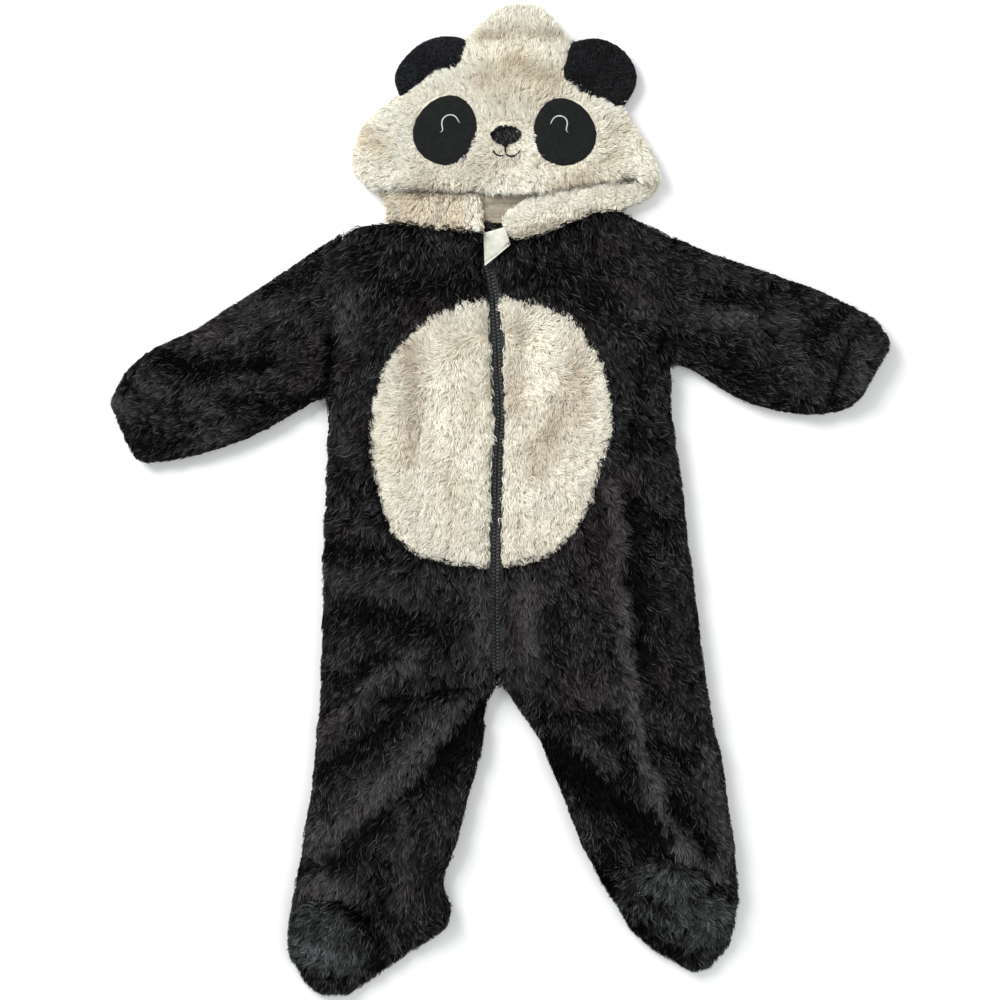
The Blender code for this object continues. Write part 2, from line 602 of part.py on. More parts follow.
def make_sleeve(side):
    """A flattened tube, open at the armhole and the cuff, with the cuff's gathers."""
    sign = mirror_sign(side)
    rows = smooth_line(SLEEVE_ROWS[side], 14)
    edges = [smooth_line(SLEEVE_ROWS[side])[:, :2], smooth_line(SLEEVE_ROWS[side])[:, 2:]]
    rows[:, [0, 2]] += sign * 1.2 * GAP
    shares = [columns(np.linalg.norm(row[2:] - row[:2]), 2) for row in rows]
    plan = row_grid(rows, shares)
    length_share = np.linspace(0, 1, len(rows))[:, None]
    across = np.array(shares)
    pull = -CUFF_PULL * np.exp(-(((length_share - CUFF_LINE) / CUFF_PULL_WIDTH) ** 2))
    near_cuff = np.exp(-(((length_share - GATHERS_LINE) / GATHERS_WIDTH) ** 2))
    gathers = CUFF_PLEAT_DEPTH * near_cuff * np.cos(2 * np.pi * CUFF_PLEATS * across)
    inner_plan = inset(plan, RIM_WALL, RIM_WALL)
    top, top_inner = upper_layer(plan, inner_plan, edges, SLEEVE_FOLDS[side])
    top[..., 2] += (pull + gathers) * quarter_round(distance_to(plan, edges), ROUND)
    under, under_inner = lower_layer(plan, inner_plan, edges)
    middle = SEAM_Z - 0.5 * GAP
    for surface in (top, top_inner, under, under_inner):
        surface[:, [0, -1], 2] = middle
    outer = np.concatenate([top, under[:, -2:0:-1]], axis=1)
    inner = np.concatenate([top_inner, under_inner[:, -2:0:-1]], axis=1)
    return add_piece(f"sleeve_{side}", *wall_mesh(outer, inner, ring=True), "black_fleece")


def foot_rows(side, count):
    return smooth_line(FOOT_ROWS[side], count)


def foot_seam(side):
    """The upper's seam round the foot, from the outer ankle round the toe to the inner."""
    rows = foot_rows(side, 61)
    return np.vstack([rows[:, 2:4], rows[::-1, 4:6]])


def make_foot_top(side):
    """Upper of the foot, domed from the ankle to its seam with the sole."""
    rows = foot_rows(side, 13)[:, 2:6]
    shares = [columns(np.linalg.norm(row[2:] - row[:2]), 2) for row in rows]
    plan = row_grid(rows, shares)
    plan = bend_end(plan, ankle_row(side) - (0, 1.2 * GAP), last=False, fade=4)
    inner_plan = inset(plan, RIM_WALL, RIM_WALL, end=RIM_WALL, fade=2)
    surfaces = upper_layer(plan, inner_plan, [foot_seam(side)], BODY_FOLDS, crown=FOOT_CROWN)
    return add_piece(f"foot_top_{side}", *wall_mesh(*surfaces), "black_fleece")


def make_sole(side):
    """Sole: flat on the floor, with its edge turned up to the upper's seam."""
    rows = foot_rows(side, 13)
    edge_out, seam_out, seam_in, edge_in = (rows[:, k:k + 2] for k in (0, 2, 4, 6))
    half_out, half_in = (edge_out + seam_out) / 2, (edge_in + seam_in) / 2
    span = seam_in - seam_out
    reach = RIM_WALL / np.maximum(np.linalg.norm(span, axis=-1, keepdims=True), 3 * RIM_WALL)
    lines = [edge_out, half_out, seam_out]
    lines += [seam_out + span * share for share in (reach, *SOLE_STEPS, 1 - reach)]
    lines += [seam_in, half_in, edge_in]
    plan = np.stack(lines, axis=1)
    toe_row = spread_on(np.reshape(TOE_EDGE[side], (2, 2)), plan[-1])
    plan = np.concatenate([plan, [(plan[-1] + toe_row) / 2], [toe_row]])
    rim = [np.vstack([plan[:, 0], plan[-1, 1:], plan[::-1, -1]])]
    seam = [foot_seam(side)]
    edge_distance, seam_distance = distance_to(plan, rim), distance_to(plan, seam)
    on_band = np.zeros(plan.shape[:2], bool)
    on_band[:, :2] = on_band[:, -2:] = True
    on_band[-2:] = True
    share = edge_distance / np.maximum(edge_distance + seam_distance, 1e-6)
    seam_z = SEAM_Z - GAP
    band = SOLE_EDGE_Z + (seam_z - SOLE_EDGE_Z) * np.sin(0.5 * np.pi * share)
    floor = seam_z - (seam_z - BACK_WALL) * np.clip(seam_distance / RIM_WALL, 0, 1)
    top = np.where(on_band, band, floor)
    under = SOLE_EDGE_Z * (1 - quarter_round(edge_distance, SOLE_ROUND))
    return add_piece(f"sole_{side}", *wall_mesh(np.dstack([plan, top]), np.dstack([plan, under])),
                     "black_fleece")


def hood_edges(first_row=0):
    """The hood's sides and peak, from a row of its table upwards."""
    rows = smooth_line(HOOD_ROWS[first_row:])
    return [rows[:, :2], rows[:, 2:], rows[-1].reshape(2, 2)]


def hem_y(x):
    line = smooth_line(FACE_HEM)
    return np.interp(x, line[:, 0], line[:, 1])


def hem_seat(xy):
    """Rise of the face layer at its hem, where it lies over the hood's sides."""
    above = xy[..., 1] - hem_y(xy[..., 0])
    fade = np.clip((HEM_REACH - above) / HEM_FADE, 0, 1)
    edges = hood_edges(FACE_FIRST_ROW)
    near_edge = quarter_round(distance_to(xy, edges) - RIM_WALL, ROUND - RIM_WALL)
    return (HEM_SEAT_Z - SEAM_Z - INNER_RISE) * fade * fade * (3 - 2 * fade) * near_edge


def patch_outline(centre_x, centre_y, half_width, half_height, turn, angle, share=1.0):
    """Points of an egg-shaped patch at given angles, drawn in to a share of its size."""
    narrow = 1 - EYE_NARROWING * np.sin(angle)
    x, y = half_width * np.cos(angle) * narrow * share, half_height * np.sin(angle) * share
    turn = np.radians(turn)
    return np.stack([centre_x + x * np.cos(turn) - y * np.sin(turn),
                     centre_y + x * np.sin(turn) + y * np.cos(turn)], axis=-1)


def make_hood_face():
    """Upper layer of the hood, from its hem over the forehead to the peak."""
    table = smooth_line(HOOD_ROWS[FACE_FIRST_ROW:], 19)
    near_peak = table[-2] + PEAK_ROW_SHARE * (table[-1] - table[-2])
    table = np.vstack([table[:-1], near_peak[None], table[-1:]])
    shares = [columns(np.linalg.norm(row[2:] - row[:2]), 5) for row in table]
    plan = row_grid(table, shares)
    plan = bend_end(plan, spread_on(smooth_line(FACE_HEM), plan[0]), last=False, fade=5)
    inner_plan = inset(plan, RIM_WALL, RIM_WALL, end=RIM_WALL)
    edges = hood_edges(FACE_FIRST_ROW)
    top, under = upper_layer(plan, inner_plan, edges, HOOD_FOLDS, puff=0)
    top[..., 2] += HEM_TOP_SHARE * hem_seat(plan)
    under[..., 2] += hem_seat(inner_plan)
    return add_piece("hood_face", *wall_mesh(top, under), "cream_fleece")


def make_hood_back():
    """Lower layer of the hood, flat on the floor, from the neck seam to the peak."""
    table = smooth_line(HOOD_ROWS, 19)
    shares = [columns(np.linalg.norm(row[2:] - row[:2]), 3) for row in table]
    plan = row_grid(table, shares)
    right, left = (back_neck(side)[-NECK_POINTS:] for side in ("right", "left"))
    neck = np.vstack([right[:-1], [(0, right[-1, 1])], left[-2::-1]]) + (0, 1.2 * GAP)
    plan = bend_end(plan, neck, last=False, fade=3)
    inner_plan = inset(plan, RIM_WALL, RIM_WALL, end=RIM_WALL)
    surfaces = lower_layer(plan, inner_plan, hood_edges())
    return add_piece("hood_back", *wall_mesh(*surfaces), "cream_fleece")


def halved(points):
    """A line of points with the middle of each stretch added."""
    made = np.empty((2 * len(points) - 1, points.shape[1]))
    made[::2] = points
    made[1::2] = 0.5 * (points[1:] + points[:-1])
    return made


def side_heights(plan, edges, roll_edges):
    """Outer and inner surface of a side of the hood, flatter where it goes under the hem."""
    base = SEAM_Z + INNER_RISE
    distance = distance_to(plan, edges)
    roll = quarter_round(distance_to(plan, roll_edges), ROLL_ROUND) if roll_edges else 1.0
    above = plan[..., 1] - hem_y(plan[..., 0])
    tuck = TUCK_DROP * np.clip(above / TUCK_REACH + 1, 0, 1)
    crest = (INNER_RISE + SIDE_CREST - tuck) * quarter_round(distance, ROUND)
    top = SEAM_Z + np.maximum(crest * (ROLL_EDGE_SHARE + (1 - ROLL_EDGE_SHARE) * roll), 0)
    inner_distance = distance - RIM_WALL
    under = SEAM_Z + (base - SEAM_Z) * quarter_round(inner_distance, ROUND - RIM_WALL)
    return top, under


def make_hood_side_right():
    """Side of the hood from the neck seam up under the face's hem."""
    rows = smooth_line(HOOD_SIDE_ROWS, 9)
    edges = hood_edges()
    shares = [columns(np.linalg.norm(row[2:] - row[:2]), 5, second_round=False) for row in rows]
    plan = row_grid(rows, shares)
    neck = halved(front_neck("right")[-NECK_POINTS:]) + (0, 1.2 * GAP)
    plan = bend_end(plan, neck, last=False, fade=3)
    below_hem = plan[:, 0, 1] < TUCK_Y
    inner_plan = inset(plan, np.where(below_hem, RIM_WALL, 0.0))
    top, under = side_heights(plan, edges, [])
    _, under = side_heights(inner_plan, edges, [])
    return add_piece("hood_side_right", *wall_mesh(np.dstack([plan, top]),
                                                   np.dstack([inner_plan, under])), "cream_fleece")


def make_hood_side_left():
    """Rolled side of the hood, from the mouth along the neck seam to the outer edge."""
    neck = front_neck("left")[-2:-NECK_POINTS - 1:-1] + (0, 1.2 * GAP)
    lower = halved(np.vstack([neck, ROLL_OUTER_EDGE]))
    length = np.concatenate([[0], np.cumsum(np.linalg.norm(np.diff(lower, axis=0), axis=1))])
    upper = at_share(smooth_line(ROLL_UPPER_EDGE), length / length[-1])
    plan = row_grid(np.hstack([lower, upper]), ROLL_STEPS)
    edges = hood_edges()
    upper_edge = np.vstack([plan[0, ::-1], plan[:, -1]])
    top, under = side_heights(plan, edges, [upper_edge])
    top = np.maximum(top, under + ROLL_LEAST_WALL)
    return add_piece("hood_side_left", *wall_mesh(np.dstack([plan, top]),
                                                  np.dstack([plan, under])), "cream_fleece")


def make_lining():
    """Lining of the hood's back, where the mouth of the hood shows it."""
    plan = np.dstack(np.meshgrid(np.array(LINING_X, float), LINING_Y))
    across = np.clip(np.abs(plan[..., 0] - MOUTH_X) / MOUTH_HALF_WIDTH, 0, 1)
    along = np.clip((plan[..., 1] - LINING_Y[0]) / (LINING_Y[4] - LINING_Y[0]), 0, 1)
    base = BACK_WALL + GAP + LINING_LIFT * np.cos(0.5 * np.pi * across) ** 2 * along
    return add_piece("hood_lining", *wall_mesh(np.dstack([plan, base + LINING_THICK]),
                                               np.dstack([plan, base])), "beige_lining")


def make_ear(side):
    """Padded ear sewn into the hood's seam: domed above, flat where it rests."""
    rim = at_share(smooth_line(EAR_RIM[side]), np.linspace(0, 1, EAR_POINTS))
    edge = hood_edges()[0 if side == "right" else 1]
    y = np.linspace(*EAR_STRETCH[side], EAR_POINTS)
    base = np.stack([np.interp(y, edge[:, 1], edge[:, 0]), y], axis=-1)
    base += EAR_CLEARANCE * np.array([mirror_sign(side) * 0.7, 0.7])
    share = np.array(EAR_STEPS)[:, None, None]
    plan = base[None] + share * (rim - base)[None]
    border = [np.vstack([plan[0], plan[1:, -1], plan[-1, ::-1], plan[::-1, 0]])]
    distance = distance_to(plan, border)
    rise = EAR_HALF_THICK * quarter_round(distance, EAR_ROUND)
    top = EAR_MID_Z + rise * EAR_TOP_SWELL
    under = EAR_MID_Z - np.minimum(rise * EAR_UNDER_SWELL, EAR_MID_Z)
    return add_piece(f"ear_{side}", *wall_mesh(np.dstack([plan, top]), np.dstack([plan, under])),
                     "ear_plush")


def make_patch(name, shape, rings):
    """A flat applique with a rounded edge, laid on the hood's face."""
    angle = np.linspace(0, 2 * np.pi, PATCH_POINTS, endpoint=False)
    shares = np.linspace(0, 1, rings + 1)
    plan = np.stack([patch_outline(*shape, angle, share) for share in shares])
    lower = SEAM_Z + CROWN + 2 * GAP + 0 * plan[..., 0]
    upper = lower + PATCH_THICK - PATCH_EDGE_DROP * (shares > 0.99)[:, None]
    points, faces = wall_mesh(np.dstack([plan, upper]), np.dstack([plan, lower]), ring=True)
    centre_rim = (np.arange(len(faces)) >= len(faces) - 2 * len(angle))
    centre_rim &= np.arange(len(faces)) < len(faces) - len(angle)
    return add_piece(name, points, faces[~centre_rim], "patch_plush")


def make_patches():
    """Eye patches and nose."""
    for side, shape in EYE_PATCH.items():
        make_patch(f"eye_patch_{side}", shape, 4)
    make_patch("nose_patch", NOSE, 2)


def make_tape(side):
    """Woven tape of the zip, under the fleece on its side."""
    sign = mirror_sign(side)
    y = np.linspace(TAPE_END_Y, ZIP_LINE[0][1] - 4, 22)
    centre = zip_x(y)
    near = centre + sign * 0.5 * GAP
    far = centre + sign * TAPE_HALF_WIDTH
    plan = row_grid(np.stack([near, y, far, y], axis=-1), np.array([0, 0.5, 1.0]))
    base = np.full(plan.shape[:2], BACK_WALL + GAP)
    return add_piece(f"zip_tape_{side}", *wall_mesh(np.dstack([plan, base + TAPE_THICK]),
                                                    np.dstack([plan, base])), "zip_tape")


def make_box(name, size, centre, material_name, bevel):
    """A small hard block with rounded edges."""
    bpy.ops.mesh.primitive_cube_add(size=1, location=(0, 0, 0))
    block = bpy.context.object
    block.name = block.data.name = name
    for vertex in block.data.vertices:
        vertex.co = [(vertex.co[k] * size[k] + centre[k]) * MM for k in range(3)]
    rounding = block.modifiers.new("rounded_edges", "BEVEL")
    rounding.width = bevel * MM
    rounding.segments = 1
    block.data.materials.append(material(material_name))
    for collection in list(block.users_collection):
        collection.objects.unlink(block)
    bpy.data.collections[PART_NAME].objects.link(block)
    return block


def make_slider_and_pull():
    """Slider at the top of the zip, and the pull that lies on it, down the zip."""
    tape_top = BACK_WALL + GAP + TAPE_THICK
    x = float(zip_x(SLIDER_Y))
    slider_z = tape_top + GAP + 0.5 * SLIDER_SIZE[2]
    make_box("zip_slider", SLIDER_SIZE, (x, SLIDER_Y, slider_z), "dark_metal", SLIDER_BEVEL)
    pull_y = SLIDER_Y - PULL_SET_DOWN
    pull_z = tape_top + 2 * GAP + SLIDER_SIZE[2] + 0.5 * PULL_SIZE[2]
    make_box("zip_pull", PULL_SIZE, (x, pull_y, pull_z), "dark_metal", PULL_BEVEL)


def make_guard():
    """Folded cotton guard over the zip's top end, held in the neck seam."""
    corners = np.array(GUARD_CORNERS, float)
    u, v = np.meshgrid(np.linspace(0, 1, 6), np.linspace(0, 1, 7))
    u, v = u[..., None], v[..., None]
    plan = ((1 - v) * ((1 - u) * corners[0] + u * corners[1])
            + v * ((1 - u) * corners[3] + u * corners[2]))
    fleece = SEAM_Z + CROWN + PUFF + front_dips(plan)
    pull_top = BACK_WALL + TAPE_THICK + 3 * GAP + SLIDER_SIZE[2] + PULL_SIZE[2]
    lower = np.dstack([plan, np.maximum(fleece, pull_top) + GUARD_LIFT])
    return add_piece("zip_guard", *wall_mesh(lower + (0, 0, GUARD_THICK), lower), "white_cotton")


def main():
    for old in list(bpy.data.objects):
        bpy.data.objects.remove(old, do_unlink=True)
    collection = bpy.data.collections.new(PART_NAME)
    bpy.context.scene.collection.children.link(collection)
    for side in ("right", "left"):
        make_front(side)
        make_belly(side)
        make_back(side)
        make_sleeve(side)
        make_foot_top(side)
        make_sole(side)
        make_ear(side)
        make_tape(side)
    make_hood_face()
    make_hood_back()
    make_hood_side_right()
    make_hood_side_left()
    make_lining()
    make_patches()
    make_slider_and_pull()
    make_guard()


main()
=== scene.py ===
import bpy
import bmesh
import numpy as np
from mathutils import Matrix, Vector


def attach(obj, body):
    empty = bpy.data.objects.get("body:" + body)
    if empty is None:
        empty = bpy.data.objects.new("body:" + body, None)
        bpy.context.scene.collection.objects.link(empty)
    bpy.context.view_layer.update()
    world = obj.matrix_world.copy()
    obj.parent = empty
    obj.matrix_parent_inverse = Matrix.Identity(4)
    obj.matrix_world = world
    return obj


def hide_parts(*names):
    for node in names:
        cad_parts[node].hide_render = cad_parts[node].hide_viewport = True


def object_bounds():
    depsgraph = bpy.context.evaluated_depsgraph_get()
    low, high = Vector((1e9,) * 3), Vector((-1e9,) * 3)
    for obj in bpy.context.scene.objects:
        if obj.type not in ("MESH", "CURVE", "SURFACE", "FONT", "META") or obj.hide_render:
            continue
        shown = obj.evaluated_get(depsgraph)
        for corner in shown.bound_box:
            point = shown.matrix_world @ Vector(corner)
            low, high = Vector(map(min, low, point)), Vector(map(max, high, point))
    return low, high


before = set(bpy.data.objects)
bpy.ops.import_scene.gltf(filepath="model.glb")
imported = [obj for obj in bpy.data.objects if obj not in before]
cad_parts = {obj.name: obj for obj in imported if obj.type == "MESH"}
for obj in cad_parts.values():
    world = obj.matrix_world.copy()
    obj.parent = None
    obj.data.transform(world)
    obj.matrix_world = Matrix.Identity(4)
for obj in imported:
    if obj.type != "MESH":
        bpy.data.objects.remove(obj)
cad_bounds = [list(corner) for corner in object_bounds()]

# ---------------------------------------------------------------------------------
# The room: a pale matt board under broad soft lamps, with the camera straight above
# the garment and square to it.
MM = 0.001
VIEW_SIDE = 0.850             # metres of board across the picture, at the side seams
CAMERA_HEIGHT = 1.5
SEAM_Z = 8.5 * MM             # height of the side seams, the garment's widest level
LAMPS = [                     # name, x, y, z, side length, watts
    ("window", -1.15, 1.15, 1.25, 1.0, 42.0),
    ("far_lamp", 1.1, -0.5, 1.7, 1.6, 11.0),
]


def plain_material(name, colour, roughness):
    """A Principled material with one colour and roughness; its nodes are free to build on."""
    made = bpy.data.materials.new(name)
    made.use_nodes = True
    shader = made.node_tree.nodes["Principled BSDF"]
    shader.inputs["Base Color"].default_value = (*colour, 1)
    shader.inputs["Roughness"].default_value = roughness
    return made, made.node_tree.nodes, made.node_tree.links, shader


def shader_node(nodes, kind, **values):
    """A shader node of one kind, with values for its named inputs; _ stands for a gap."""
    made = nodes.new("ShaderNode" + kind)
    for name, value in values.items():
        made.inputs[name.replace("_", " ")].default_value = value
    return made


def wire(links, *wires):
    """Links between shader nodes, each given as a node, its output, a node and its input."""
    for source, output, target, socket in wires:
        links.new(source.outputs[output], target.inputs[socket])


def new_object(name, mesh, material):
    """An object at the origin that holds a mesh and its material."""
    made = bpy.data.objects.new(name, mesh)
    bpy.context.scene.collection.objects.link(made)
    mesh.materials.append(material)
    return made


scene = bpy.context.scene
scene.view_settings.view_transform = "Standard"
camera = bpy.data.objects.new("camera", bpy.data.cameras.new("camera"))
camera.location = (0, 0, CAMERA_HEIGHT + SEAM_Z)
camera.data.sensor_width = 36
camera.data.lens = 36 * CAMERA_HEIGHT / VIEW_SIDE
scene.collection.objects.link(camera)
scene.camera = camera

scene.world = bpy.data.worlds.new("room")
scene.world.use_nodes = True
scene.world.node_tree.nodes["Background"].inputs["Color"].default_value = (0.96, 0.98, 1, 1)
scene.world.node_tree.nodes["Background"].inputs["Strength"].default_value = 0.64
for name, x, y, z, side, watts in LAMPS:
    lamp = bpy.data.objects.new(name, bpy.data.lights.new(name, "AREA"))
    lamp.data.size = side
    lamp.data.energy = watts
    lamp.location = (x, y, z)
    lamp.rotation_euler = lamp.location.to_track_quat("Z", "Y").to_euler()
    scene.collection.objects.link(lamp)

board, nodes, links, shader = plain_material("pale_board", (0.90, 0.90, 0.895), 0.85)
spot = shader_node(nodes, "TexCoord")
grain = shader_node(nodes, "TexNoise", Scale=220)
rise = shader_node(nodes, "Bump", Strength=0.04, Distance=0.5 * MM)
wire(links, (spot, "Object", grain, "Vector"), (grain, "Fac", rise, "Height"),
     (rise, "Normal", shader, "Normal"))
mesh = bpy.data.meshes.new("board")
mesh.from_pydata([(-4, -4, 0), (4, -4, 0), (4, 4, 0), (-4, 4, 0)], [], [(0, 1, 2, 3)])
new_object("board", mesh, board)

# ---------------------------------------------------------------------------------
# Fronts and backs: long-pile fleece, knitted cloth with a pile brushed out of it. Two
# fronts and two backs are sewn round the zip, the side seams and the centre back, and
# lie in soft folds from being worn, packed and laid down.
CROWN = 8.7 * MM              # rise of each solid's upper side above the side seams
PILE_DEPTH = 3.4 * MM         # how far the knitted cloth lies inside the pile's surface
FLOOR_PILE = 1.2 * MM         # pile pressed flat under the garment
LOCK = 4.0 * MM               # size of one lock of pile
WAVER = 1.6 * MM              # how far the sides of the locks waver
ROOT_DEPTH = 0.4 * MM         # how far the root of a hair lies inside the cloth
LOWEST = 0.15 * MM            # the lowest that pile reaches over the floor
SLACK = 0.2 * MM              # what lies this near the side seams' level counts as on it
UPPER_FROM = 11.5 * MM        # an edge that reaches above this belongs to the side that shows
FOLD_FULL = 4.5 * MM          # height above the side seams from which folds rise in full
UNDERSIDE = 4.0 * MM          # what lies below this is a piece's underside
# The zip's middle line from the neck to the crotch, in millimetres.
ZIP_LINE = [(-10.6, 200), (-5.1, 173), (-1.7, 112), (0.8, 76), (-1.7, 43), (-2.6, 11),
            (-3.4, -44), (-4.2, -102), (-3.4, -146)]
PARTING = 1.9 * MM            # how far the cloth draws back from the zip on each side
BESIDE_ZIP = 9 * MM           # how gently that draw-back dies away
FOLD_LIMITS = (-5.2, 4.2)     # where folds cross, they go no deeper or higher, in millimetres
# The four corners of the guard that is sewn over the zip's top end, in millimetres.
GUARD_OUTLINE = [(-14.6, 197.9), (8.5, 216.2), (3.1, 230.4), (-14.2, 225.4)]
# The oval let into the fronts: its middle and its half sizes, in millimetres, and where
# wear has pulled its seam out of true: how far out, at what angle from the wearer's left,
# how wide in degrees, and how far the pull reaches as a share of the oval's half size.
OVAL_MIDDLE = (-7, 58)
OVAL_HALF = (103, 113)
OVAL_PULLS = [(9.0, 50, 26, 0.18), (12.5, 229, 19, 0.22), (-8.0, 342, 20, 0.12),
              (3.0, 297, 9, 0.15)]
# Folds of the black cloth: rise and half width, then the points of the fold's line, all
# in millimetres. A trough has a negative rise.
# The pile over these folds is also painted lighter on the ridges and darker in the troughs:
# painted light and shade.
FOLDS = [
    # chest and armholes
    (-1.3, 10, (-93, 187), (-25, 183)), (-1.2, 9, (51, 195), (76, 170)),
    (-2.3, 4, (-138, 144), (-142, 89)), (1.6, 8, (-132, 187), (-126, 144)),
    (-2.6, 5, (115, 149), (140, 128)), (-1.6, 6, (85, 170), (106, 153)),
    (1.6, 7, (119, 191), (110, 153)), (-2.0, 6, (119, 128), (112, 51)),
    # flanks and hips
    (-1.7, 6, (100, 51), (127, 51)), (-3.0, 5, (112, 2), (143, -24)),
    (-1.5, 8, (-127, 25), (-115, 0)), (1.3, 7, (-132, 60), (-119, 47)),
    (-3.0, 7, (-140, -38), (-94, -42)), (-2.6, 7, (-132, -88), (-85, -95), (-42, -109)),
    (1.5, 9, (-136, -64), (-68, -76)), (-3.0, 5, (-132, -149), (-98, -129)),
    (1.7, 6, (-17, -68), (-10, -140)), (1.9, 9, (25, -76), (21, -123)),
    (-1.3, 8, (49, -85), (42, -128)),
    # the long fold down the left leg and the hollows beside it
    (3.4, 4.5, (90, 17), (96, -13), (99, -51), (101, -102), (105, -140), (112, -183),
     (123, -225), (140, -268), (160, -302)),
    (-3.0, 7, (109, 0), (114, -51), (116, -102), (119, -136)),
    (-3.0, 5, (117, -143), (136, -166)), (-3.0, 6, (126, -204), (161, -212)),
    (-4.2, 6, (146, -246), (174, -297)), (2.0, 5, (174, -208), (189, -306)),
    # the left leg's inner side
    (-5.5, 11, (44, -206), (72, -234), (102, -259), (129, -279)),
    (1.2, 7, (70, -200), (119, -250)), (-2.0, 6, (38, -180), (94, -177)),
    (-2.2, 5, (89, -196), (110, -194)), (1.6, 8, (72, -161), (98, -161)),
    (-2.0, 7, (102, -212), (110, -246)),
    # the right leg's slanting folds
    (3.0, 6, (-68, -127), (-106, -153), (-146, -194)),
    (-4.0, 7, (-83, -177), (-115, -202), (-146, -228)),
    (-3.0, 4, (-117, -161), (-149, -180)), (-3.5, 4.5, (-92, -167), (-60, -161), (-27, -155)),
    (3.0, 13, (-27, -170), (-64, -208), (-106, -251), (-155, -285)),
    (-5.0, 8, (-14, -166), (-32, -191), (-51, -219)),
    (-2.8, 8, (-62, -230), (-81, -248), (-132, -297)),
    (-3.0, 8, (-19, -187), (-38, -217)), (2.0, 4, (-78, -255), (-80, -340)),
    (-2.0, 7, (-106, -306), (-98, -340)), (-2.0, 7, (-166, -310), (-130, -304)),
    # feet
    (-4.8, 3.5, (-160, -338), (-132, -338), (-110, -354)), (2.0, 8, (-157, -323), (-123, -327)),
    (-2.0, 7, (-106, -365), (-102, -391)), (2.0, 10, (-153, -378), (-132, -383)),
    (3.6, 5, (132, -287), (161, -296), (187, -316)), (-4.0, 7, (85, -308), (98, -323)),
    (-3.0, 3, (100, -308), (114, -299), (140, -299), (158, -305), (176, -320)),
    (-3.0, 4, (172, -310), (189, -334)), (-1.7, 4, (119, -327), (144, -344)),
    (-1.5, 4, (161, -336), (183, -323)), (-2.5, 5, (94, -344), (153, -382)),
    # right sleeve
    (3.0, 5, (-249, 132), (-225, 139), (-202, 146)),
    (-4.5, 6, (-279, 121), (-259, 114), (-229, 112), (-189, 121)),
    (2.5, 5, (-231, 95), (-208, 104), (-183, 107)), (-3.0, 5, (-225, 87), (-183, 81), (-144, 95)),
    (2.8, 5, (-257, 85), (-231, 75)), (-1.5, 6, (-272, 81), (-255, 64)),
    (2.0, 6, (-242, 51), (-217, 61)), (-4.0, 8, (-302, 51), (-276, 44)),
    (2.0, 6, (-302, 104), (-280, 95)), (-2.5, 4, (-312, 104), (-306, 92)),
    (2.0, 6, (-321, 85), (-310, 78)), (-2.5, 6, (-194, 178), (-172, 184)),
    (-2.5, 6, (-161, 191), (-149, 200)), (-1.5, 6, (-194, 136), (-200, 110)),
    (1.5, 8, (-212, 170), (-178, 166)),
    # left sleeve
    (-4.0, 5, (170, 173), (200, 171), (221, 167)), (-2.0, 6, (225, 180), (246, 177)),
    (2.5, 7, (162, 153), (200, 156), (242, 151)), (-3.5, 5, (138, 140), (157, 136), (170, 134)),
    (-3.5, 6, (177, 129), (200, 126), (189, 109)), (-3.0, 6, (200, 100), (214, 92)),
    (-3.0, 6, (231, 85), (253, 81)), (-2.0, 5, (213, 110), (238, 117)),
    (-3.0, 9, (259, 136), (285, 155)), (2.5, 5, (282, 136), (298, 155)),
    (-4.0, 3.5, (294, 140), (286, 115), (275, 81)), (2.0, 5, (306, 128), (298, 94)),
    (1.5, 8, (247, 123), (255, 102)),
]

# Wide areas of painted light and shade on the black pile, in the same form: lighter at
# the shoulder, beside the zip, on the feet, cuffs and some ridges, darker on the chest,
# the hip, the hollows of the legs and sleeves and under the right toe.
PAINTED_LIGHT_AND_SHADE = [
    (-0.35, 30, (-105, 200), (-35, 190)), (-0.5, 30, (35, 195), (92, 182)),
    (0.3, 15, (-128, 200), (-128, 150)), (0.8, 11, (-16, -66), (-10, -140)),
    (0.6, 14, (24, -72), (22, -132)), (-0.35, 20, (-130, -92), (-48, -100)),
    (-0.45, 10, (112, 0), (120, -125)), (1.1, 21, (140, -320), (174, -350)),
    (0.8, 22, (-150, -325), (-154, -384)), (-0.8, 10, (90, -292), (88, -320)),
    (-1.2, 9, (-20, -180), (-42, -224)), (-1.7, 12, (50, -212), (80, -240), (134, -284)),
    (0.35, 10, (-52, -196), (-130, -268)), (-0.4, 14, (-285, 118), (-200, 118)),
    (-0.3, 10, (-215, 85), (-160, 85)), (0.4, 9, (-325, 88), (-310, 78)),
    (0.3, 12, (-242, 145), (-190, 165)), (0.3, 9, (308, 130), (300, 100)),
    (-0.3, 12, (165, 132), (215, 102)), (-1.2, 7, (-166, -396), (-134, -402)),
]


def wandering(xy, scale, seed):
    """A smooth uneven field from -1 to 1: seven plane waves of about one length, in metres,
    each with its own direction and start, added up and divided by their usual sum."""
    rng = np.random.default_rng(seed)
    angle, start = rng.uniform(0, 2 * np.pi, (2, 7))
    number = 2 * np.pi / (scale * rng.uniform(0.7, 1.5, 7))
    waves = np.sin((xy[:, :1] * np.cos(angle) + xy[:, 1:2] * np.sin(angle)) * number + start)
    return np.clip(waves.sum(axis=1) / 3.2, -1, 1)


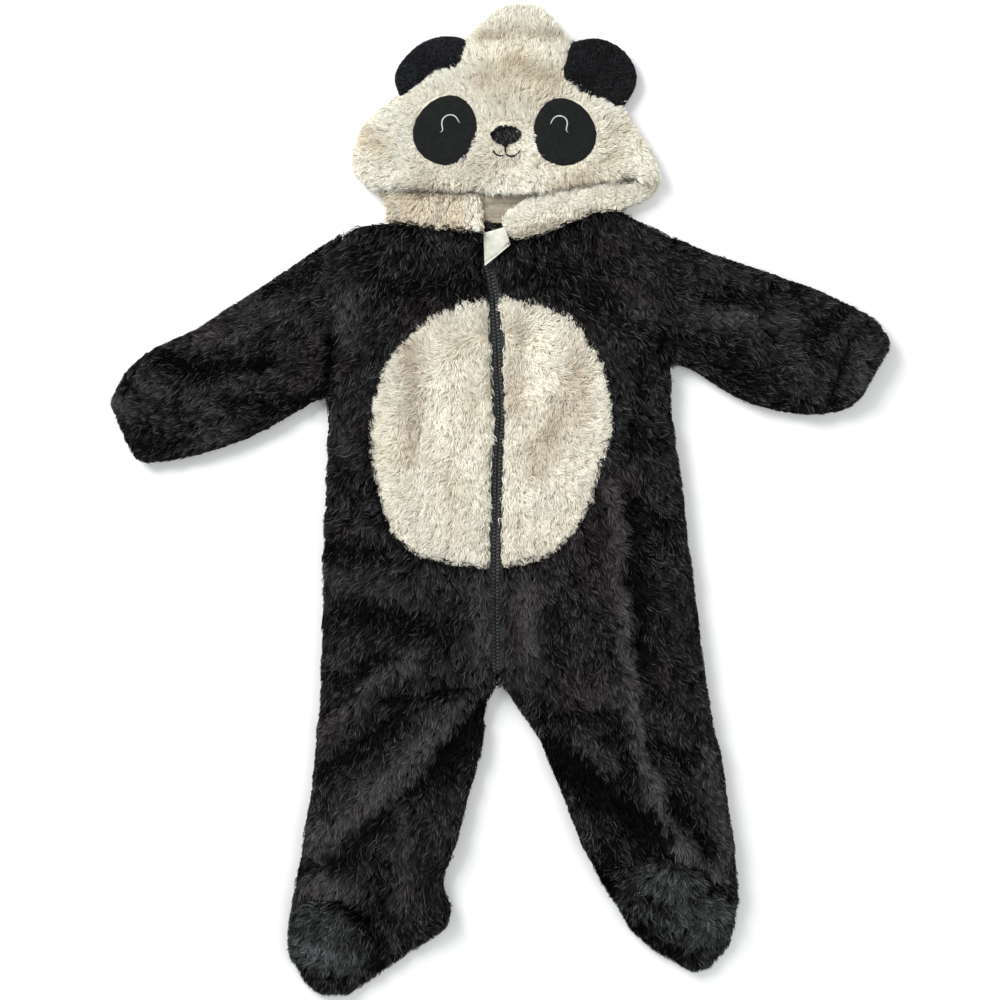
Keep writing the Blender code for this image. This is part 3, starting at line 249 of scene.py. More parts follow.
def marked(xy, marks):
    """Marks laid along lines: each adds its amount times a bell curve of the distance from
    its line, in millimetres, made a little stronger and weaker along its length."""
    place = xy / MM
    uneven = 1 + 0.25 * wandering(xy, 40 * MM, 6)
    total = np.zeros(len(xy))
    for amount, half_width, *line in marks:
        line = np.array(line, float)
        inside = (place > line.min(axis=0) - 2.5 * half_width).all(axis=1)
        inside &= (place < line.max(axis=0) + 2.5 * half_width).all(axis=1)
        near = place[inside]
        away = np.full(len(near), np.inf)
        for start, end in zip(line[:-1], line[1:]):
            run = end - start
            share = np.clip((near - start) @ run / (run @ run), 0, 1)
            away = np.minimum(away, np.linalg.norm(near - start - share[:, None] * run, axis=1))
        total[inside] += amount * np.exp(-((away / half_width) ** 2))
    return total * uneven


def folded(xy, folds):
    """Rise of the cloth in millimetres: its folds, and the slow unevenness of cloth long in wear.
    """
    return np.clip(marked(xy, folds), *FOLD_LIMITS) + 0.5 * wandering(xy, 26 * MM, 5)


def read_mesh(mesh):
    """Corner places, triangles and corner normals of a mesh, as whole arrays."""
    mesh.calc_loop_triangles()
    points = np.empty(len(mesh.vertices) * 3, np.float32)
    mesh.vertices.foreach_get("co", points)
    triangles = np.empty(len(mesh.loop_triangles) * 3, np.int32)
    mesh.loop_triangles.foreach_get("vertices", triangles)
    normals = np.empty(len(mesh.vertices) * 3, np.float32)
    mesh.vertex_normals.foreach_get("vector", normals)
    return points.reshape(-1, 3).astype(float), triangles.reshape(-1, 3), normals.reshape(-1, 3)


def spread(points, triangles, chance, count, rng):
    """Spots spread over triangles by chance: which triangle, and its corners' shares."""
    which = rng.choice(len(triangles), count, p=chance / chance.sum())
    u, v = rng.random((2, count, 1))
    u, v = np.where(u + v > 1, 1 - u, u), np.where(u + v > 1, 1 - v, v)
    shares = np.stack([1 - u - v, u, v], axis=1)
    return which, shares, (points[triangles[which]] * shares).sum(axis=1)


PLAN_MARGIN = 30 * MM         # empty squares kept round the garment's plan


def plan_of_garment(step, blur):
    """How far inside the garment's outline each spot lies: spots scattered over every
    piece mark the squares of a grid, and a bell curve softens the marks."""
    rng = np.random.default_rng(1)
    low, high = (np.array(corner[:2]) for corner in cad_bounds)
    low, high = low - PLAN_MARGIN, high + PLAN_MARGIN
    marks = np.zeros(np.ceil((high - low) / step).astype(int))
    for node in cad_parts.values():
        points, triangles, _ = read_mesh(node.data)
        corner = points[triangles][:, :, :2]
        a, b = corner[:, 1] - corner[:, 0], corner[:, 2] - corner[:, 0]
        area = np.abs(a[:, 0] * b[:, 1] - a[:, 1] * b[:, 0]) / 2
        spots = spread(points, triangles, area, int(6 * area.sum() / step**2), rng)[2]
        at = ((spots[:, :2] - low) / step).astype(int)
        marks[at[:, 0], at[:, 1]] = 1
    fx, fy = np.fft.fftfreq(marks.shape[0], step), np.fft.rfftfreq(marks.shape[1], step)
    bell = np.exp(-2 * (np.pi * blur) ** 2 * (fx[:, None] ** 2 + fy[None] ** 2))
    soft = np.fft.irfft2(np.fft.rfft2(marks) * bell, marks.shape)
    return low, step, np.stack([soft, *np.gradient(soft, step)], axis=-1)


def inside_outline(xy):
    """How far inside the outline each spot is, from 0 well outside to 1 well inside, and
    the plan direction that leads inside: the plan's grid blended between its squares."""
    low, step, values = plan
    place = np.clip((xy - low) / step - 0.5, 0, np.array(values.shape[:2]) - 2.001)
    i = place.astype(int)
    u, v = (place - i).T[..., None]
    a, b = values[i[:, 0], i[:, 1]], values[i[:, 0] + 1, i[:, 1]]
    c, d = values[i[:, 0], i[:, 1] + 1], values[i[:, 0] + 1, i[:, 1] + 1]
    read = (a * (1 - u) + b * u) * (1 - v) + (c * (1 - u) + d * u) * v
    return read[:, 0], unit(read[:, 1:])


def from_oval_middle(xy):
    """Offset from the middle of the belly's oval, as shares of its half sizes."""
    return (xy - np.array(OVAL_MIDDLE) * MM) / (np.array(OVAL_HALF) * MM)


def pulled_oval(points):
    """The cloth near the oval's seam moved along the oval's radius: by the amount of each
    pull, times a bell curve of the angle and one of the distance from the seam."""
    offset = from_oval_middle(points[:, :2])
    angle = np.degrees(np.arctan2(offset[:, 1], offset[:, 0]))
    from_seam = np.linalg.norm(offset, axis=1) - 1
    made = points.copy()
    for amount, place, half_angle, reach in OVAL_PULLS:
        away = (angle - place + 180) % 360 - 180
        bell = np.exp(-((away / half_angle) ** 2) - (from_seam / reach) ** 2)
        made[:, :2] += (amount * MM * bell)[:, None] * unit(offset)
    return made


def unit(vectors):
    """Vectors drawn out or in to a length of one."""
    return vectors / np.maximum(np.linalg.norm(vectors, axis=-1, keepdims=True), 1e-9)


def from_zip(xy):
    """Distance from the zip's middle line, positive to the wearer's left, in metres. It
    grows quickly from 2 mm below the line and 12 mm above it, so that nothing past the
    zip's ends is taken for beside it."""
    line = np.array(ZIP_LINE[::-1]) * MM
    off = xy[:, 0] - np.interp(xy[:, 1], line[:, 1], line[:, 0])
    past = np.maximum(line[0, 1] - 2 * MM - xy[:, 1], xy[:, 1] - line[-1, 1] - 12 * MM)
    return off + np.sign(off) * 3 * np.maximum(past, 0)


def sunk(points):
    """Points of a solid moved inside it by the depth of its pile: towards the side seams'
    level from above, up off the floor from below, and in by a third of it at the outline."""
    made = points.copy()
    z = points[:, 2]
    made[:, 2] = np.where(z > SEAM_Z, SEAM_Z + (z - SEAM_Z) * (1 - PILE_DEPTH / CROWN),
                          FLOOR_PILE + z * (1 - FLOOR_PILE / SEAM_Z))
    inside, inward = inside_outline(points[:, :2])
    share = np.clip((0.95 - inside) / 0.45, 0, 1)
    made[:, :2] += inward * (0.35 * PILE_DEPTH * share)[:, None]
    return made


def on_top(edge):
    """True for an edge of a solid's upper surface, which shows and so needs small faces."""
    return max(vert.co.z for vert in edge.verts) > UPPER_FROM


def fine_copy(node, longest, rounds, soften):
    """A copy of a solid's surface with its corners joined, cut into small faces and then
    softened: each point is moved towards its neighbours, and most of the way back."""
    bm = bmesh.new()
    bm.from_mesh(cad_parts[node].data)
    bmesh.ops.remove_doubles(bm, verts=bm.verts, dist=1e-5)
    for _ in range(rounds):
        long_edges = [edge for edge in bm.edges
                      if edge.calc_length() > longest * (1 if on_top(edge) else 2)]
        bmesh.ops.subdivide_edges(bm, edges=long_edges, cuts=1)
        bmesh.ops.triangulate(bm, faces=bm.faces)
    for factor in (0.5, -0.4) * soften:
        bmesh.ops.smooth_vert(bm, verts=bm.verts, factor=factor,
                              use_axis_x=True, use_axis_y=True, use_axis_z=True)
    mesh = bpy.data.meshes.new(f"cloth_{node}")
    bm.to_mesh(mesh)
    bm.free()
    mesh.validate()
    return mesh


def cloth(node, material, longest=6.5 * MM, rounds=5, folds=FOLDS, soften=3,
          reshape=None):
    """The cloth of one piece: a fine copy of its solid, reshaped, sunk by the depth of the
    pile, drawn back from the zip if it is a front or a belly half (in full within 5 mm of it,
    and not at all past 14 mm) and laid in its folds. They rise in full 4.5 mm above the side
    seams, and the underside follows them at a fifth of their height."""
    mesh = fine_copy(node, longest, rounds, soften)
    points, _, _ = read_mesh(mesh)
    if reshape is not None:
        points = reshape(points)
    flat = points[:, :2].copy()
    points = sunk(points)
    off = from_zip(flat)
    drawn = np.clip(1.6 - np.abs(off) / BESIDE_ZIP, 0, 1) * (points[:, 2] > SEAM_Z + SLACK)
    if node.startswith(("front", "belly")):
        points[:, 0] += np.sign(off) * PARTING * drawn
    rise = folded(flat, folds) * MM
    top = np.clip((points[:, 2] - SEAM_Z) / FOLD_FULL, 0, 1)
    points[:, 2] += rise * top + 0.2 * np.abs(rise) * (points[:, 2] < UNDERSIDE)
    mesh.vertices.foreach_set("co", points.astype(np.float32).ravel())
    mesh.polygons.foreach_set("use_smooth", np.ones(len(mesh.polygons), bool))
    mesh.update()
    made = new_object(f"cloth_{node}", mesh, material)
    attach(made, "root")
    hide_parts(node)
    return made


def colour_ramp(nodes, *stops):
    """A colour ramp through two or more stops, each a place from 0 to 1 and a colour."""
    made = nodes.new("ShaderNodeValToRGB")
    elements = made.color_ramp.elements
    for end in (0, -1):
        elements[end].position = stops[end][0]
        elements[end].color = (*stops[end][1], 1)
    for place, colour in stops[1:-1]:
        elements.new(place).color = (*colour, 1)
    return made


def knitted(name, colour, dark, loop_scale=900, loop_depth=0.4 * MM, gloss=0.15):
    """Knitted cloth: a mottled ground, with the pattern of its loops raised a little."""
    made, nodes, links, shader = plain_material(name, colour, 0.95)
    shader.inputs["Specular IOR Level"].default_value = gloss
    spot = shader_node(nodes, "TexCoord")
    mottle = shader_node(nodes, "TexNoise", Scale=300, Detail=4)
    shade = colour_ramp(nodes, (0.35, dark), (0.7, colour))
    loops = shader_node(nodes, "TexVoronoi", Scale=loop_scale)
    rise = shader_node(nodes, "Bump", Strength=0.6, Distance=loop_depth)
    wire(links, (spot, "Object", mottle, "Vector"), (spot, "Object", loops, "Vector"),
         (mottle, "Fac", shade, "Fac"), (shade, "Color", shader, "Base Color"),
         (loops, "Distance", rise, "Height"), (rise, "Normal", shader, "Normal"))
    return made


def pile_material(name, root, middle, tip, stain_and_shade_colour, patch, patch_share, tones, roughness, gloss):
    """Brushed pile: each hair goes from a dark root to a light tip, which paints shade deep in
    the pile and a highlight at the tip. It is brighter or darker by its own and its lock's
    tone and by painted light and shade, takes on a stained colour where it is marked (real
    tint in places, painted shade in others), and drifts to the patch colour in large soft
    patches."""
    made, nodes, links, shader = plain_material(name, middle, roughness)
    shader.inputs["Specular IOR Level"].default_value = gloss
    hair = shader_node(nodes, "Attribute")
    hair.attribute_name = "hair"
    parts = shader_node(nodes, "SeparateColor")
    # Painted shade at each hair's root, deep in the pile, and a painted highlight at its tip.
    shaded_root_to_lit_tip = colour_ramp(nodes, (0, root), (0.5, middle), (1, tip))
    spot = shader_node(nodes, "TexCoord")
    patches = shader_node(nodes, "TexNoise", Scale=16, Detail=3)
    amount = shader_node(nodes, "MapRange", From_Min=0.48, From_Max=0.68, To_Max=patch_share)
    tone = shader_node(nodes, "Math")
    tone.operation = "ADD"
    bright = shader_node(nodes, "MapRange", From_Max=2.0, To_Min=tones[0], To_Max=tones[1])
    bright.clamp = False
    held = shader_node(nodes, "Math")
    held.operation = "MAXIMUM"
    held.inputs[1].default_value = 0.03
    share, base, factor, product = 0, 6, 7, 2      # a colour mix's inputs, and its output
    mixes = [shader_node(nodes, "Mix") for _ in range(3)]
    for mix, colour in zip(mixes, (patch, stain_and_shade_colour, (1, 1, 1))):
        mix.data_type, mix.blend_type = "RGBA", "MULTIPLY"
        mix.inputs[factor].default_value = (*colour, 1)
    mixes[2].inputs[share].default_value = 1.0
    wire(links, (hair, "Color", parts, "Color"), (parts, "Red", shaded_root_to_lit_tip, "Fac"),
         (spot, "Object", patches, "Vector"), (patches, "Fac", amount, "Value"),
         (amount, "Result", mixes[0], share), (shaded_root_to_lit_tip, "Color", mixes[0], base),
         (hair, "Alpha", mixes[1], share), (mixes[0], product, mixes[1], base),
         (parts, "Green", tone, 0), (parts, "Blue", tone, 1),
         (tone, "Value", bright, "Value"), (bright, "Result", held, 0),
         (mixes[1], product, mixes[2], base), (held, "Value", mixes[2], factor),
         (mixes[2], product, shader, "Base Color"))
    return made


def turned(directions, angle):
    """Plan directions turned by an angle each, in radians, anticlockwise from above."""
    x, y = directions[:, 0], directions[:, 1]
    return np.stack([x * np.cos(angle) - y * np.sin(angle),
                     x * np.sin(angle) + y * np.cos(angle)], axis=1)


def roots_on(pieces, count, rng, under, bare, top_from):
    """Roots of hairs spread by area over the outer faces of cloths, and the blended normal
    there. under is how thickly undersides are set; bare marks spots that stay without."""
    read = [read_mesh(piece.data) for piece in pieces]
    starts = np.cumsum([0] + [len(points) for points, _, _ in read])
    points, normals = (np.concatenate([part[k] for part in read]) for k in (0, 2))
    triangles = np.concatenate([part[1] + start for part, start in zip(read, starts)])
    corner = points[triangles]
    cross = np.cross(corner[:, 1] - corner[:, 0], corner[:, 2] - corner[:, 0])
    up, z = unit(cross)[:, 2], corner[:, :, 2].mean(axis=1)
    top = (up > 0.08) & (z > top_from)
    rounded = (up < -0.03) & (up > -0.93) & (z < SEAM_Z + SLACK)
    flat = (up <= -0.93) & (z < SEAM_Z - 2 * MM)
    chance = np.linalg.norm(cross, axis=1) * (top + (rounded + 0.8 * flat) * under)
    if bare is not None:
        chance *= ~bare(points[:, :2])[triangles].all(axis=1)
    which, shares, root = spread(points, triangles, chance, count, rng)
    normal = unit((normals[triangles[which]] * shares).sum(axis=1))
    if bare is not None:
        kept = ~bare(root[:, :2])
        root, normal = root[kept], normal[kept]
    return root, normal


def locks_of(root, normal, size, seed):
    """Which lock each hair belongs to, and the middle of its lock's roots. The locks are
    the squares of a wavering grid, and an upper and an under side don't share any."""
    xy = root[:, :2]
    waver = np.stack([wandering(xy, 11 * MM, seed + k) for k in (1, 2)], axis=1) * WAVER
    squares = np.floor(np.column_stack([xy + waver, np.sign(normal[:, 2]) * size]) / size)
    locks = np.unique(squares, axis=0, return_inverse=True)[1].reshape(-1)
    total = np.stack([np.bincount(locks, root[:, k]) for k in range(3)], axis=1)
    return locks, (total / np.bincount(locks)[:, None])[locks]


def brushed(xy, flow, turn):
    """The plan direction that each hair is brushed: its piece's flow, turned by the hair's
    own angle, less nearly all of what leads out of the outline and across the zip. Also
    how far inside the outline each hair stands, and how near the zip, from 0 to 1."""
    way = turned(unit(flow(xy)), turn)
    inside, inward = inside_outline(xy)
    outward = np.maximum(-(way * inward).sum(axis=1), 0) * np.clip((0.99 - inside) * 6, 0, 1)
    way += (0.95 * outward)[:, None] * inward
    off = from_zip(xy)
    beside = np.clip(1.5 - np.abs(off) / (6 * MM), 0, 1)
    toward_zip = np.maximum(-way[:, 0] * np.sign(off), 0) * beside
    way[:, 0] += 0.85 * toward_zip * np.sign(off)
    return unit(way), inside, beside


def leaves(name, points, colour, material):
    """Narrow leaves of two triangles in one mesh, each given as its root, both sides and
    its tip. The attribute hair holds the points' colours, and every leaf has a square of
    its own in the map OFBake."""
    number = len(points)
    corners = np.array([0, 1, 2, 1, 3, 2])
    mesh = bpy.data.meshes.new(name)
    mesh.vertices.add(4 * number)
    mesh.vertices.foreach_set("co", points.astype(np.float32).ravel())
    mesh.loops.add(6 * number)
    mesh.loops.foreach_set("vertex_index", (4 * np.arange(number)[:, None] + corners).ravel())
    mesh.polygons.add(2 * number)
    mesh.polygons.foreach_set("loop_start", 3 * np.arange(2 * number))
    mesh.polygons.foreach_set("use_smooth", np.ones(2 * number, bool))
    mesh.update(calc_edges=True)
    hair = mesh.color_attributes.new("hair", "FLOAT_COLOR", "POINT")
    hair.data.foreach_set("color", colour.astype(np.float32).ravel())
    side = int(np.ceil(np.sqrt(number)))
    cell = np.stack([np.arange(number) % side, np.arange(number) // side], axis=1)
    leaf = np.array([(0.5, 0.05), (0.05, 0.5), (0.95, 0.5), (0.5, 0.95)])[corners]
    mesh.uv_layers.new(name="OFBake").data.foreach_set(
        "uv", ((cell[:, None] + leaf) / side).astype(np.float32).ravel())
    made = new_object(name, mesh, material)
    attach(made, "root")
    return made


def pile(name, pieces, count, flow, material, slot, seed, length=10.5 * MM, width=1.05 * MM,
         rise=0.3, under=0.0, bare=None, unrest=0.6, pull=0.42, shorter=None, folds=FOLDS,
         painted_fold_shading=0.42, painted_shading=PAINTED_LIGHT_AND_SHADE, mottle=0.2, stains_and_shade=(), all_stained=0.0, curl=0.1,
         lock=LOCK, tangle=0.26, held=9 * MM, top_from=SEAM_Z - SLACK):
    """Pile of one piece. Each hair grows from the cloth along the way it is brushed, bends
    over and ends between its own tip and its lock's, back inside the garment's outline. It
    is shorter beside the zip and near the outline. The hairs of a lock share its turn, its
    length and its tone. A point's colour holds its place along its hair, how bright chance,
    mottle and painted light and shade make the hair (painted lighter on folds' ridges and
    over some wide areas, darker in troughs and over others), its lock's tone, and how far
    it is stained, where the marks are partly real tint and partly painted shade. unrest is
    how far the brushing wanders over the cloth, tangle how far locks turn, curl how far
    hairs bend aside, pull how far their tips gather, and held how hard the outline holds
    them in."""
    rng = np.random.default_rng(seed)
    root, normal = roots_on(pieces, count, rng, under, bare, top_from)
    number, xy = len(root), root[:, :2]
    locks, centre = locks_of(root, normal, lock, seed)
    lock_count = locks.max() + 1
    lock_turn = rng.normal(0, tangle, lock_count)[locks]
    lock_long = rng.uniform(0.8, 1.25, lock_count)[locks]
    lock_tone = rng.uniform(0.2, 0.8, lock_count)[locks]
    turn = 0.8 * wandering(xy, 48 * MM, seed + 3) + 0.55 * wandering(xy, 15 * MM, seed + 4)
    turn = unrest * turn + lock_turn + rng.normal(0, 0.14, number)
    plan_way, inside, beside = brushed(xy, flow, turn)
    way = np.column_stack([plan_way, np.zeros(number)])
    way = unit(way - normal * (way * normal).sum(axis=1, keepdims=True))
    across = np.cross(normal, way)
    long = length * lock_long * rng.uniform(0.75, 1.15, number) * (1 - 0.4 * beside)
    long = (long * np.clip(0.26 + 0.74 * (inside - 0.64) / 0.32, 0.26, 1))[:, None]
    if shorter is not None:
        long = long * shorter(xy)[:, None]
    height = rise * rng.uniform(0.7, 1.3, (number, 1))
    own_tip = root + long * (0.9 * way + height * normal)
    lock_tip = centre + long * (0.95 * way + rise * normal)
    tip = (1 - pull) * own_tip + pull * lock_tip
    tip_inside, back = inside_outline(tip[:, :2])
    tip[:, :2] += back * (held * np.clip(0.52 - tip_inside, 0, 1))[:, None]
    bend = (rng.normal(0, curl, (number, 1)) + 0.1 * np.sin(locks)[:, None]) * long
    middle = root + 0.48 * (tip - root) + 0.28 * height * long * normal + bend * across
    roll = rng.normal(0, 0.5, (number, 1))
    flank = (across * np.cos(roll) + normal * np.sin(roll)) * width / 2
    points = np.stack([root - ROOT_DEPTH * normal, middle - flank, middle + flank, tip], axis=1)
    points[..., 2] = np.maximum(points[..., 2], LOWEST)
    colour = np.empty((number, 4, 4))
    colour[..., 0] = [0, 0.5, 0.5, 1]
    # Painted light and shade: upward hairs are painted lighter on a fold's ridge and darker in
    # its trough, by the fold-shading factor times the fold's rise, and the wide list adds painted
    # light and shade over broad areas; the mottle is random tone.
    shade = painted_fold_shading * np.clip(marked(xy, folds), -5, 4) + marked(xy, painted_shading)
    shade += mottle * (wandering(xy, 9 * MM, seed + 5) + 0.6 * wandering(xy, 30 * MM, seed + 6))
    # Chance makes a few hairs much brighter; on the black pile these also stand for painted
    # highlights along glossy strands.
    colour[..., 1] = (2.8 * rng.random(number) ** 5 + shade * (normal[:, 2] > 0))[:, None]
    colour[..., 2] = lock_tone[:, None]
    colour[..., 3] = np.clip(all_stained + marked(xy, stains_and_shade), 0, 1)[:, None]
    return leaves(name, points, colour, material)


def toward(x, y):
    """A brushing direction that is the same all over a piece."""
    return lambda xy: np.broadcast_to(np.array([x, y], float), xy.shape)


def away_from(x, y, drop=0.0):
    """A brushing direction that fans out from a point, in millimetres, with some drop."""
    return lambda xy: unit(xy - np.array([x, y]) * MM) + (0, -drop)


def under_guard(xy):
    """True for spots that the zip's guard covers: inside all four sides of its outline, or
    less than about a millimetre outside one."""
    corners = np.array(GUARD_OUTLINE) * MM
    sides = np.roll(corners, -1, axis=0) - corners
    offset = xy[:, None] - corners
    area = sides[:, 0] * offset[..., 1] - sides[:, 1] * offset[..., 0]
    return (area > -20 * MM**2).all(axis=1)


def down_the_body(xy):
    """The pile is brushed down the body and legs, and leans out towards the side seams."""
    lean = np.clip((xy[:, 0] + 7 * MM) / (130 * MM), -1, 1)
    below = np.clip((-xy[:, 1] - 60 * MM) / (120 * MM), 0, 1)
    return np.stack([(0.8 - 0.4 * below) * lean, -np.ones(len(xy))], axis=1)


plan = plan_of_garment(1.5 * MM, 4 * MM)
black_knit = knitted("black_knit", (0.003, 0.003, 0.003), (0.001, 0.001, 0.001), gloss=0.05)
black_pile = pile_material("black_pile", root=(0.0005, 0.0005, 0.0006),
                           middle=(0.009, 0.009, 0.0092), tip=(0.030, 0.030, 0.0315),
                           stain_and_shade_colour=(1.4, 1.45, 1.5), patch=(1.15, 0.86, 0.84), patch_share=0.7,
                           tones=(-0.3, 2.5), roughness=0.5, gloss=0.05)
front_right, front_left = (cloth(node, black_knit, reshape=pulled_oval)
                           for node in ("front_right", "front_left"))
back_right, back_left = (cloth(node, black_knit)
                         for node in ("back_right", "back_left"))
pile_front_right = pile("pile_front_right", [front_right], 75000, down_the_body, black_pile,
                        "black_fleece", 11, bare=under_guard, painted_fold_shading=0.46)
pile_front_left = pile("pile_front_left", [front_left], 81000, down_the_body, black_pile,
                       "black_fleece", 12, bare=under_guard, painted_fold_shading=0.54)


NECK_GAP = (-5.5, 231.5)      # middle of the gap between the hood's two sides, millimetres
NECK_GAP_HALF = (15, 6)       # half its width and height


def beyond_neck_gap(xy):
    """True for spots away from the gap between the hood's two sides at the neck."""
    away = np.abs(xy - np.array(NECK_GAP) * MM)
    return (away > np.array(NECK_GAP_HALF) * MM).any(axis=1)


pile_neck = pile("pile_neck", [back_right, back_left], 1500, toward(0.3, 1), black_pile,
                 "black_fleece", 14, length=6 * MM, bare=beyond_neck_gap, top_from=6 * MM)
pile_back = pile("pile_back", [back_right, back_left], 11000, toward(0, -1), black_pile,
                 "black_fleece", 13, under=1.0, width=1.8 * MM, rise=0.2)

# ---------------------------------------------------------------------------------
# Belly: two halves of an oval of cream long-pile fleece, let into the fronts and parted
# by the zip. Its pile spreads over the black one all round, and is beige in bands, from
# wear and from painted shade along its folds' troughs.
# Beige bands on the belly's pile: the three on the folds' troughs are painted shade as well as
# wear.
BELLY_WEAR_AND_SHADE = [              # as the folds: amount, half width, points of the line
    (0.8, 9, (-72, 125), (-68, 90), (-76, 40)), (0.7, 7, (14, 140), (12, 80)),
    (0.75, 12, (58, 100), (40, 50), (30, 25)), (0.6, 8, (62, 120), (66, 70)),
    (0.4, 9, (-40, 20), (-38, -20)), (0.35, 10, (-30, 130), (-26, 80)),
]
BELLY_FOLDS = [
    (-1.2, 9, (-72, 125), (-68, 90), (-76, 40)), (1.0, 10, (-48, 130), (-46, 40)),
    (-1.2, 7, (14, 140), (12, 80)), (1.2, 10, (34, 140), (30, 90)),
    (-1.0, 9, (58, 100), (40, 50)), (1.0, 9, (-90, 70), (-88, 10)),
]


def out_of_belly(xy):
    """The belly's pile is brushed down, and spreads outwards near the oval's seam."""
    offset = from_oval_middle(xy)
    share = np.clip(np.linalg.norm(offset, axis=1, keepdims=True), 0, 1) ** 2.5
    return share * unit(offset) * 1.4 + (1 - share) * np.array([0.0, -1.0])


def shorter_at_oval(xy):
    """The belly's pile is caught short in the oval's seam, over the last tenth of its way."""
    return 1 - 0.35 * np.clip((np.linalg.norm(from_oval_middle(xy), axis=1) - 0.9) / 0.1, 0, 1)


cream_knit = knitted("cream_knit", (0.78, 0.72, 0.60), (0.62, 0.565, 0.455))
cream_pile = pile_material("cream_pile", root=(0.59, 0.51, 0.385), middle=(0.84, 0.79, 0.655),
                           tip=(0.96, 0.95, 0.86), stain_and_shade_colour=(0.80, 0.725, 0.645),
                           patch=(0.94, 0.885, 0.82), patch_share=0.4, tones=(0.80, 1.08),
                           roughness=0.7, gloss=0.25)
belly_right, belly_left = (cloth(node, cream_knit, folds=BELLY_FOLDS,
                                 reshape=pulled_oval)
                           for node in ("belly_right", "belly_left"))
pile_belly = pile("pile_belly", [belly_right, belly_left], 61000, out_of_belly, cream_pile,
                  "cream_fleece", 21, unrest=0.85, length=8.0 * MM, width=0.62 * MM,
                  rise=0.36, curl=0.16, lock=2.7 * MM, shorter=shorter_at_oval,
                  folds=BELLY_FOLDS, painted_fold_shading=0.7, painted_shading=(), mottle=0.35,
                  stains_and_shade=BELLY_WEAR_AND_SHADE)

# ---------------------------------------------------------------------------------
# Sleeves: one tube of black fleece each, lying flat, with the cuff's elastic gathering
# the cloth a little way up from its end.
sleeve_right, sleeve_left = (cloth(node, black_knit)
                             for node in ("sleeve_right", "sleeve_left"))
sleeve = {"material": black_pile, "slot": "black_fleece", "under": 0.25, "length": 9 * MM,
          "rise": 0.25, "painted_fold_shading": 0.32}
pile_sleeve_right = pile("pile_sleeve_right", [sleeve_right], 33000, toward(-0.92, -0.55),
                         seed=31, **sleeve)
pile_sleeve_left = pile("pile_sleeve_left", [sleeve_left], 30500, toward(0.92, -0.45),
                        seed=32, **sleeve)

# ---------------------------------------------------------------------------------
# Feet: an upper gathered to a sole of the same black fleece. The right foot lies on its
# side with the toe turned down, the left one shows its rounded toe.
foot_top_right, foot_top_left, sole_right, sole_left = (
    cloth(node, black_knit)
    for node in ("foot_top_right", "foot_top_left", "sole_right", "sole_left"))
foot_pile = pile_material("foot_pile", root=(0.0005, 0.0005, 0.0005),
                          middle=(0.0118, 0.0123, 0.0125), tip=(0.040, 0.042, 0.043),
                          stain_and_shade_colour=(1, 1, 1), patch=(1.15, 1.15, 1.15), patch_share=0.5,
                          tones=(-0.4, 2.5), roughness=0.5, gloss=0.05)
pile_foot_right = pile("pile_foot_right", [foot_top_right, sole_right], 14000,
                       away_from(-100, -320, 0.3), foot_pile, "black_fleece", 41, under=0.4,
                       painted_fold_shading=0.6, top_from=2 * MM)
pile_foot_left = pile("pile_foot_left", [foot_top_left, sole_left], 14500,
                      away_from(140, -300, 0.3), foot_pile, "black_fleece", 42, under=0.4,
                      painted_fold_shading=0.8, top_from=2 * MM)

# ---------------------------------------------------------------------------------
# Hood: an upper layer with the animal's face, a lower layer under it, and two sides that
# close at the neck. The wearer's left side lies as a rolled strip.
HOOD_FOLDS = [
    (-1.6, 6, (-12, 388), (17, 393), (46, 388)), (1.4, 9, (-10, 372), (34, 374)),
    (-1.2, 8, (17, 364), (42, 352)), (1.0, 8, (-112, 306), (-96, 292)),
    (-1.2, 6, (84, 304), (104, 318)), (-1.4, 5, (72, 281), (94, 290)),
    (-1.2, 5, (-66, 277), (-34, 279)), (-0.6, 8, (-10, 282), (30, 280)),
    (-1.3, 4, (58, 274), (100, 277)), (-4.4, 1.8, (101, 272), (113, 273)),
    (-4.0, 2.6, (-98, 263), (-60, 264), (-14, 263)),
    (-3.6, 2.2, (8, 247), (20, 255), (51, 264), (85, 270)),
]
# Brownish marks on the face's pile, in the same form: painted shade along and beside the folds
# and along the hem, and tan between the eyes and over the chin.
HOOD_TINT_AND_SHADE = [
    (0.8, 6, (-10, 388), (17, 393), (46, 388)), (0.8, 12, (14, 368), (42, 354)),
    (0.8, 10, (-114, 312), (-98, 298)), (0.5, 9, (86, 304), (104, 318)),
    (0.7, 8, (66, 280), (96, 288)), (0.75, 16, (-8, 352), (22, 336)),
    (0.35, 12, (-62, 282), (50, 284)),
    (0.5, 5, (-70, 268), (-20, 266)), (0.7, 5, (40, 268), (100, 273)),
]
# Painted shade on the hood's pile, in the same form: the dark line over the roll and under the
# hem, on the roll's facing, in bands down the right side, in the slot at the hem's end, and a
# little over the chin.
HOOD_PAINTED_SHADE = [               # the dark line over the roll and at the hem, the roll's facing
    (-2.0, 2.2, (7, 246), (20, 255), (51, 264), (85, 270), (104, 272)),
    (-2.5, 2.2, (-98, 261), (-60, 262), (-16, 261)), (-2.0, 4.5, (18, 226), (40, 234), (78, 246)),
    (-1.2, 4, (-86, 250), (-84, 238)), (-1.2, 4, (-52, 256), (-54, 240)),
    (-2.4, 1.7, (96, 272.5), (111, 272)), (-0.25, 14, (-40, 286), (50, 286)),
]
# Pinkish marks on the right side's pile: two darker bands down it, painted shade under the hem,
# and less tint at its right end.
SIDE_TINT_AND_SHADE = [
    (0.8, 5, (-72, 252), (-66, 228)), (0.7, 5, (-40, 258), (-38, 232)),
    (0.9, 4, (-96, 262), (-20, 264)), (-0.6, 9, (-24, 256), (-22, 230)),
]
ROLL_STAINS = [(0.75, 6, (16, 226), (40, 234), (80, 247))]
